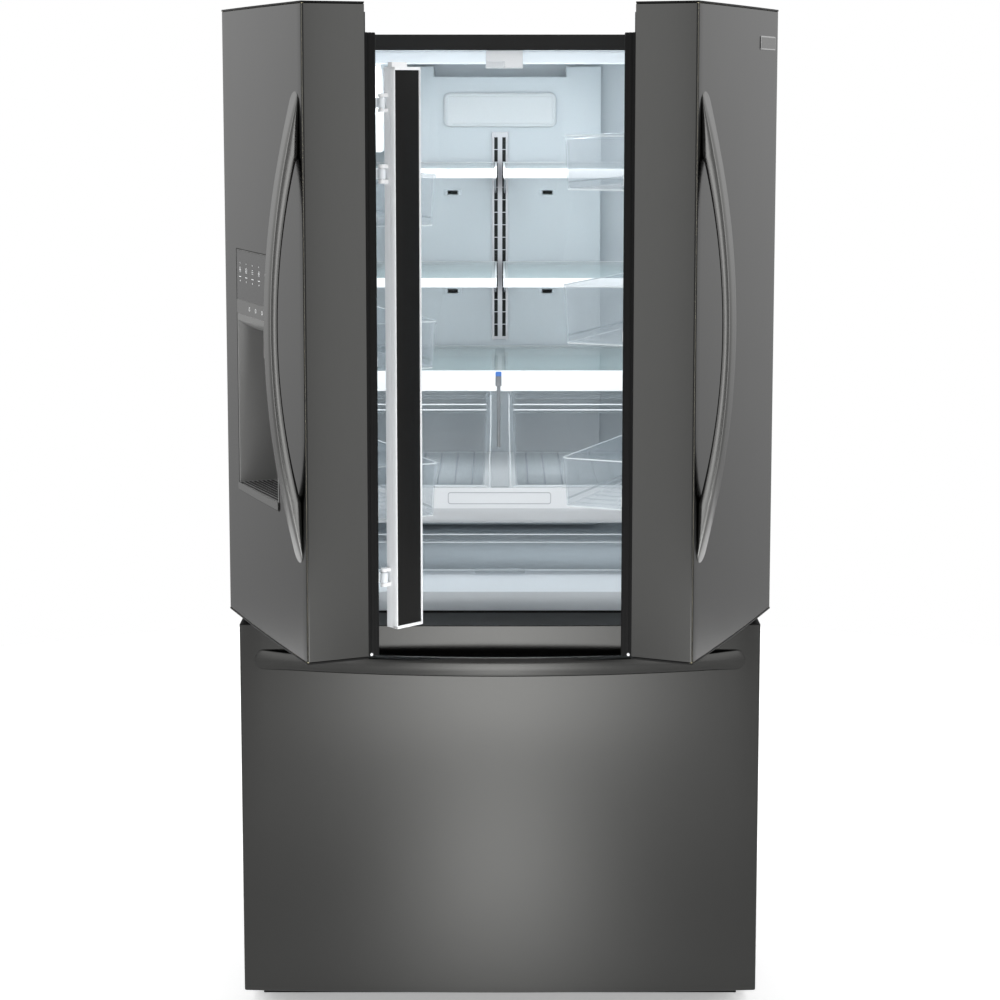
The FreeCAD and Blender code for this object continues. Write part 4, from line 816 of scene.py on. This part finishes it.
def cavity_liner():
    """The moulded liner: rounded long edges, a rounded meeting with the back wall and a sill."""
    low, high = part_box("fresh_food_liner")
    wall, skin, corner, steps = 2 * MM, 1.2 * MM, 12 * MM, 6
    x0, x1, z1 = low.x + wall, high.x - wall, high.z - wall
    z0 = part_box("deli_drawer")[0].z - 4 * MM
    front, back, middle = FLANGE + 0.1 * MM, high.y - wall, (z0 + z1) / 2

    def level(inset, y):
        return upright((x0, z0), (x1, z1), inset, y, corner, steps)

    rings = [level(0, front)] + [level(corner * a * 0.98, back - corner * b) for a, b in quarter(steps)]
    outer_front = [
        p + Vector((math.copysign(skin, p.x), 0, math.copysign(skin, p.z - middle))) for p in rings[0]
    ]
    outer_back = [Vector((p.x, back + skin, p.z)) for p in outer_front]
    liner = bmesh.new()
    add_rings(liner, [outer_back, outer_front, *rings])
    sill_low = (x0, front - 0.05 * MM, low.z + 0.2 * MM)
    add_box(liner, sill_low, (x1, front + 1.8 * MM, z0 + 0.5 * MM), 0.5 * MM, 2)
    finish_piece("fresh_food_lining", liner, "cabinet", "liner", stands_for=("fresh_food_liner",))
    corners = bmesh.new()
    for cx, sx in ((x0, 1), (x1, -1)):
        for cz, sz in ((z0, 1), (z1, -1)):
            add_corner_fill(corners, cx, sx, cz, sz, front + 0.3 * MM, corner)
    finish_piece("frame_corners", corners, "cabinet", "liner")


def add_corner_fill(bm, cx, sx, cz, sz, y, radius, steps=8):
    """The small web between a square opening's corner and the rounded liner."""
    outline = [(cx, cz)] + [(cx + sx * radius * a, cz + sz * radius * b) for a, b in quarter(steps)]
    add_rings(bm, [[Vector((px, y + d, pz)) for px, pz in outline] for d in (0, 1 * MM)])


VENT_OUT, VENT_HEIGHTS = 95 * MM, (1440 * MM, 1242 * MM, 1051 * MM)
TRACK_PITCH = 25 * MM


def back_wall():
    """The duct panel's details: the filter cover's raised border, framed vents and the tracks' slots; the vents'
    and slots' openings are black blocks of painted shade.
    """
    low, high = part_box("air_filter_cover")
    corners, rings = ((low.x, low.z), (high.x, high.z)), []
    # How far in from the cover's outline and how far behind its face, in millimetres.
    for inset, back in ((0, (high.y - low.y) / MM), (0, 3), (1, 1), (3, 0), (6, 0), (8, 2), (9, 2.4)):
        rings.append(upright(*corners, inset * MM, low.y + back * MM, 12 * MM))
    cover = ("air_filter_cover",)
    ring_piece("filter_cover_moulded", rings, "cabinet", "white_plastic", stands_for=cover)
    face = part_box("air_duct_panel")[0].y
    slots, frames = bmesh.new(), bmesh.new()
    for z in VENT_HEIGHTS:
        for x in (-VENT_OUT, VENT_OUT):
            centre = Vector((x, face, z))
            blocks = [(slots, 0, 0, 9, 2, -0.6, 1.5)]
            blocks += [(frames, 0, up, 18, 1, -1.2, 2.5) for up in (-5, 5)]
            blocks += [(frames, across, 0, 4, 5, -1.2, 2.5) for across in (-14, 14)]
            for part, across, up, wide, tall, front, back in blocks:
                block_low = centre + Vector((across - wide, front, up - tall)) * MM
                block_high = centre + Vector((across + wide, back, up + tall)) * MM
                add_box(part, block_low, block_high, (0.6 if part is slots else 0.8) * MM, 2)
    # The slots' black is painted shade in the vent openings.
    finish_piece("vent_slot_shade", slots, "cabinet", "liner", material=SHADOW_BLACK)
    finish_piece("vent_frames", frames, "cabinet", "liner")
    tracks = bmesh.new()
    track_low, track_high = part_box("shelf_tracks")
    front = face - 6 * MM
    for x in (-8 * MM, 8 * MM):
        for k in range(int((track_high.z - track_low.z) / TRACK_PITCH)):
            z = track_low.z + 9 * MM + k * TRACK_PITCH
            slot_low = (x - 3.5 * MM, front - 0.3 * MM, z - 2.5 * MM)
            add_box(tracks, slot_low, (x + 3.5 * MM, front + 4 * MM, z + 21 * MM))
    # The track slots' black is painted shade in the slot openings.
    finish_piece("track_slot_shade", tracks, "cabinet", "zinc_steel", material=SHADOW_BLACK)


def clear_drawers():
    """The crispers and the deli drawer, moulded with lips, ribs and a pull."""
    for side in SIDES:
        node = f"crisper_{side}"
        low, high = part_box(node)
        bm = bmesh.new()
        add_tray(bm, (low.x, low.y + 5 * MM, low.z), high, 2.5 * MM, 10 * MM, 7 * MM, 2 * MM, 8 * MM)
        for z in (high.z - 36 * MM, high.z - 9 * MM):
            add_box(bm, (low.x + 4 * MM, low.y, z), (high.x - 4 * MM, low.y + 9.2 * MM, z + 5 * MM), 1.6 * MM)
        add_ribs(bm, low, high, 12, 25 * MM, 1 * MM, low.z + 2.4 * MM, low.z + 4.6 * MM)
        finish_piece(node + "_moulded", bm, f"{side}_crisper", "clear_plastic", smooth=40, stands_for=(node,))
    low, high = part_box("deli_drawer")
    pull, edge = 46 * MM, low.y + 16 * MM
    bm = bmesh.new()
    add_tray(bm, (low.x, low.y + 11 * MM, low.z), high, 2.5 * MM, 10 * MM, 4 * MM, 2 * MM, 6 * MM)
    bar_low = (low.x + 6 * MM, low.y + 5 * MM, high.z - 18 * MM)
    add_box(bm, bar_low, (high.x - 6 * MM, edge, high.z - 13 * MM), 1.6 * MM)
    add_box(bm, (-pull, low.y, low.z + 0.2 * MM), (pull, edge, low.z + 9 * MM), 2.2 * MM)
    finish_piece("deli_drawer_moulded", bm, "deli", "clear_plastic", smooth=40, stands_for=("deli_drawer",))


def clear_rims():
    """The thick edges of the clear drawers and bins, which gather light."""
    for side in SIDES:
        low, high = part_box(f"crisper_{side}")
        bm = bmesh.new()
        for z in (high.z - 31 * MM, high.z - 21 * MM, low.z + 2 * MM):
            rim_low = (low.x + 5 * MM, low.y + 0.2 * MM, z)
            add_box(bm, rim_low, (high.x - 5 * MM, low.y + 3 * MM, z + 2.2 * MM), 0.6 * MM, 2)
        finish_piece(f"crisper_{side}_rims", bm, f"{side}_crisper", "clear_plastic", material=CLEAR_EDGE)
        low, high = shut_box(f"{side}_door_bins", TURN[side])
        bm = bmesh.new()
        for z0, z1 in bin_levels(side):
            add_hoop(bm, low, high, z1 - 1.6 * MM, z1 - 0.1 * MM, 14 * MM, 0.3 * MM, 1.5 * MM)
            add_hoop(bm, low, high, z0 + 1 * MM, z0 + 2.2 * MM, 14 * MM, 6.4 * MM, 1.4 * MM)
        finish_piece(f"{side}_bin_rims", bm, f"{side}_door", "clear_plastic", TURN[side], material=CLEAR_EDGE)
    low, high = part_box("deli_drawer")
    bm = bmesh.new()
    for margin, y, z0, z1 in (
        (4 * MM, 4 * MM, high.z - 2.4 * MM, high.z - 0.2 * MM),
        (6 * MM, 4 * MM, high.z - 17 * MM, high.z - 15 * MM),
        (14 * MM, 10 * MM, low.z + 3 * MM, low.z + 6 * MM),
    ):
        add_box(bm, (low.x + margin, low.y + y, z0), (high.x - margin, low.y + y + 2 * MM, z1), 0.6 * MM, 2)
    finish_piece("deli_drawer_rims", bm, "deli", "clear_plastic", material=CLEAR_EDGE)


def humidity_rod():
    """The slim grey rod with a blue tip before the middle post, and the post's flared edges."""
    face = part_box("crisper_cover_frame")[0].y
    rod, tip, edges = bmesh.new(), bmesh.new(), bmesh.new()
    # Left, right, how far it stands out, bottom, top and rounding, in millimetres.
    for part, left, right, out, bottom, top, edge in (
        (rod, -8.2, 2.6, 3, 1105, 1124, 1.4),
        (rod, -5.6, 0.6, 2.2, 992, 1106, 1.2),
        (tip, -8.2, 2.6, 3.6, 1123, 1132, 1.8),
    ):
        block_low = (left * MM, face - out * MM, bottom * MM)
        add_box(part, block_low, (right * MM, face + 1 * MM, top * MM), edge * MM)
    front, back = face - 0.4 * MM, face + 4 * MM
    for side in (-1, 1):
        rings = []
        for z, out in ((1088, 17.5), (1030, 17.5), (1000, 18.5), (960, 20), (918, 20)):
            inner, outer = sorted((side * (out - 1.6) * MM, side * out * MM))
            square = ((inner, front), (outer, front), (outer, back), (inner, back))
            rings.append([Vector((x, y, z * MM)) for x, y in square])
        add_rings(edges, rings)
    finish_piece("humidity_rod", rod, "cabinet", "clear_plastic", material=ROD_GREY)
    finish_piece("humidity_tip", tip, "cabinet", "white_plastic", material=ROD_BLUE)
    finish_piece("post_edges", edges, "cabinet", "clear_plastic", material=CLEAR_EDGE)


def tray_fascia():
    """The deli tray's front: a blank label recess with a rounded border above a rounded lip. The border is grey as
    painted shade in the groove round the label, and the lip is the tray's own plastic made darker as painted
    shade.
    """
    low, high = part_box("crisper_tray")
    label_low, label_high, line = (-96 * MM, 886 * MM), (94 * MM, 908 * MM), 1.2 * MM
    rings = []
    for inset, out in ((0, -0.3 * MM), (0, 0.5 * MM), (line, 0.5 * MM), (line, -0.3 * MM)):
        rings.append(upright(label_low, label_high, inset, low.y - out, 5 * MM))
    # The border's grey is painted shade in the label's groove.
    ring_piece("label_border", rings, "cabinet", "white_plastic", loop=True, material=LABEL_GROOVE_SHADE)
    # The lip's height and how far it stands out, in millimetres.
    profile = (
        (878, 0), (876.5, 0.8), (873, 2), (866, 3.2), (858, 3.2), (854, 2.2), (852.4, 0.6), (852, -2),
        (878, -2),
    )
    ends = (low.x + 1 * MM, high.x - 1 * MM)
    rings = [[Vector((x, low.y - out * MM, z * MM)) for z, out in profile] for x in ends]
    # The lip's darker plastic is painted shade on the tray's own moulding.
    ring_piece("tray_lip", rings, "cabinet", "liner", material=PAINTED_SHADE_LIP, smooth=50)


def freezer_step():
    """A thin sheet over the sloping step at the freezer's back, where the foam would be bare."""
    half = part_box("freezer_liner")[1].x - 2.1 * MM
    bottom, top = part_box("freezer_basket")[1].z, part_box("upper_basket")[0].z
    slope = [v.co for v in NODES["freezer_liner"].data.vertices if bottom < v.co.z < top]
    low, high = min(slope, key=lambda p: p.y), max(slope, key=lambda p: p.y)
    # Round the sheet: from which end of the slope, and how far behind and above it in millimetres.
    outline = (
        (low, -0.6, -4), (low, -0.6, 2.4), (high, -2, 0.4), (high, -2, -1), (low, 0.4, 0.6), (low, 0.4, -4),
    )
    rings = [[Vector((x, p.y + y * MM, p.z + z * MM)) for p, y, z in outline] for x in (-half, half)]
    ring_piece("freezer_step_lining", rings, "cabinet", "liner")


def softened_parts():
    """CAD parts with rounded edges; shelf brackets, the post and the door liners' edges are set off."""
    for node, width in (
        ("mullion_guide", 1.5), ("ceiling_light", 3.0), ("toe_grille", 0.8), ("ice_maker", 3.0),
        ("fixed_slides", 0.6), ("cabinet_wrapper", 0.5), ("air_duct_panel", 1.0),
    ):
        soften(node, width * MM, "cabinet")
    for side in SIDES:
        low, high = shut_box(f"{side}_door_liner", TURN[side])
        back = TURN[side].inverted()

        def on_edge(p):
            q = back @ p
            return min(q.x - low.x, high.x - q.x, q.z - low.z, high.z - q.z) < 1.2 * MM

        soften(f"{side}_door_liner", 0.9 * MM, f"{side}_door", inset=on_edge, inset_slot="gasket")
        soften(f"{side}_door_caps", 0.5 * MM, f"{side}_door", segments=2)
    soften("dispenser_housing", 0.5 * MM, "left_door", segments=2)
    soften("dispenser_paddle", 0.8 * MM, "paddle", segments=2)
    upper_top, lower_top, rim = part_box("shelf_frames")[1].z, 1302.6 * MM, 17.5 * MM

    def on_bracket(p):
        return all(not top - rim < p.z < top + 1 * MM for top in (upper_top, lower_top))

    soften("shelf_frames", 0.9 * MM, "cabinet", inset=on_bracket, inset_slot="zinc_steel")
    post_half, post_top = 17 * MM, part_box("crisper_cover_frame")[1].z - 38 * MM

    def on_post(p):
        return abs(p.x) < post_half and p.z < post_top

    soften("crisper_cover_frame", 1.4 * MM, "cabinet", inset=on_post, inset_slot="clear_plastic")


# ------------------------------ back and underside


def rear_screws():
    low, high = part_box("rear_cover")
    profile = ((3.6, -0.5), (3.6, 0.3), (3.06, 1.0), (1.62, 1.4), (0.2, 1.5))
    bm = bmesh.new()
    for x in (low.x + 12 * MM, low.x / 2, 0, high.x / 2, high.x - 12 * MM):
        for z in (low.z + 9 * MM, high.z - 9 * MM):
            add_lathe(bm, (x, high.y - 1.6 * MM, z), (0, 1, 0), profile, 18)
    finish_piece("rear_screws", bm, "cabinet", "zinc_steel", material=SCREW_STEEL)


# ------------------------------ stage


def area_light(name, place, target, size, power, colour=(1, 1, 1), soft_edge=None):
    """A flat lamp, unseen by the camera; soft_edge is how fast it dims from its middle, across and along."""
    data = bpy.data.lights.new(name, "AREA")
    data.shape, data.size, data.size_y = "RECTANGLE", size[0], size[1]
    data.energy, data.color = power, colour
    light = bpy.data.objects.new(name, data)
    light.location = place
    light.rotation_euler = (Vector(target) - Vector(place)).to_track_quat("-Z", "Y").to_euler()
    light.visible_camera = False
    link(light)
    if soft_edge:
        data.use_nodes = True
        tree = data.node_tree
        spot = add_node(tree, "NewGeometry").outputs["Parametric"]
        away = add_math(tree, "VectorMath", "SUBTRACT", spot, (0.5, 0.5, 0))
        spread = add_math(tree, "VectorMath", "MULTIPLY", away, (*soft_edge, 0))
        square = add_math(tree, "VectorMath", "DOT_PRODUCT", spread, spread)
        below = add_math(tree, "Math", "MULTIPLY", square, -1.0)
        feed(tree, tree.nodes["Emission"], {"Strength": add_math(tree, "Math", "EXPONENT", below)})


def surround():
    """A white world, dimmer below and towards the front and back; the camera sees it plain."""
    world = bpy.data.worlds.new("studio")
    bpy.context.scene.world = world
    world.use_nodes = True
    tree = world.node_tree
    place = add_node(tree, "TexCoord").outputs["Generated"]
    split = add_node(tree, "SeparateXYZ", {"Vector": place}).outputs
    rise = add_range(tree, split["Z"], (-0.25, 0.12), (0.45, 0.95))
    across = add_math(tree, "Math", "ABSOLUTE", split["X"])
    sides = add_range(tree, across, (0.48, 0.72), (0.7, 1.34))
    light = add_math(tree, "Math", "MULTIPLY", rise, sides)
    seen = add_node(tree, "LightPath").outputs["Is Camera Ray"]
    mix = add_node(tree, "Mix", {"Factor": seen, "A": light, "B": 1.0}, data_type="FLOAT")
    feed(tree, tree.nodes["Background"], {"Color": (1, 1, 1, 1), "Strength": mix.outputs["Result"]})


def floor_disc():
    """A pale floor that glows faintly towards the back, so that it meets the white."""
    disc = bmesh.new()
    bmesh.ops.create_circle(disc, cap_ends=True, segments=96, radius=3.0)
    mesh = bpy.data.meshes.new("floor")
    disc.to_mesh(mesh)
    disc.free()
    floor = bpy.data.objects.new("floor", mesh)
    paint = grained("floor_paint", (0.88, 0.88, 0.88), 0.7, grain=30, vary=0.01, bump=0.02, depth=0.2)
    tree = paint.node_tree
    place = add_node(tree, "TexCoord").outputs["Object"]
    back = add_node(tree, "SeparateXYZ", {"Vector": place}).outputs["Y"]
    glow = add_range(tree, back, (-1.1, 0.3), (0, 0.4), interpolation_type="SMOOTHSTEP")
    feed(tree, tree.nodes["Principled BSDF"], {"Emission Color": (1, 1, 1, 1), "Emission Strength": glow})
    mesh.materials.append(paint)
    link(floor)


def lamps():
    """Two low cards, an overhead, a tall key at each side, and the cool light inside."""
    area_light("low_card", (0, -1.95, 0.3), (0, 0, 0.35), size=(2.4, 0.52), power=22, soft_edge=(5, 0))
    area_light("floor_card", (0, -1.15, 0.012), (0, -1.15, 1), size=(1.4, 1.6), power=22, soft_edge=(6, 2))
    area_light("overhead", (0, 0.4, 4.6), (0, 0.4, 0), size=(5.0, 5.0), power=110)
    for side in (-1, 1):
        place, target = (side * 1.75, -2.75, 1.28), (side * 0.2, -0.4, 1.28)
        area_light(f"key_{side}", place, target, size=(1.1, 2.5), power=13)
    light_low, light_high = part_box("ceiling_light")
    middle = ((light_low + light_high) / 2).y
    cover_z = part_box("crisper_cover_frame")[1].z - 0.045
    tray_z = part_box("crisper_tray")[0].z - 0.008
    for name, place, target, size, power in (
        ("top", (0, middle, light_low.z - 0.004), (0, middle + 0.1, 0), (0.62, 0.05), 2.3),
        ("fill", (0, FLANGE + 0.03, 1.32), (0, 0.4, 1.3), (0.7, 0.6), 1.15),
        ("crispers", (0, 0.2, cover_z), (0, 0.21, 0), (0.7, 0.2), 0.6),
        ("deli", (0, 0.2, tray_z), (0, 0.21, 0), (0.7, 0.2), 0.35),
    ):
        area_light(f"inside_{name}", place, target, size, power, colour=(0.93, 0.97, 1.0))


def camera():
    """The photograph's view: a long lens a little above the handles, looking slightly down."""
    pixels, focal, sensor = 1000, 2361.3, 36.0
    ahead, height, look_down = 4.1410, 1.6365, 0.1270
    data = bpy.data.cameras.new("camera")
    data.sensor_width, data.lens = sensor, focal * sensor / pixels
    data.shift_y = -0.105
    made = bpy.data.objects.new("camera", data)
    made.location = (0, FLANGE - ahead, height)
    made.rotation_euler = (math.pi / 2 - look_down, 0, 0)
    link(made)
    bpy.context.scene.camera = made


bpy.context.scene.view_settings.view_transform = "Standard"
camera()
surround()
floor_disc()
lamps()
door_skins()
bowed_skin("drawer_front", "freezer_drawer_skin", "freezer_drawer", None)
door_grips()
drawer_grip()
drawer_cap()
for door in SIDES:
    gasket(f"{door}_door_gasket", f"{door}_door", TURN[door])
    door_inside(door)
gasket("freezer_drawer_gasket", "freezer_drawer")
seal_studs()
door_badge()
hinge_covers()
dispenser_marks()
dispenser_trim()
mullion_finish()
cavity_liner()
back_wall()
clear_drawers()
clear_rims()
humidity_rod()
tray_fascia()
freezer_step()
softened_parts()
rear_screws()
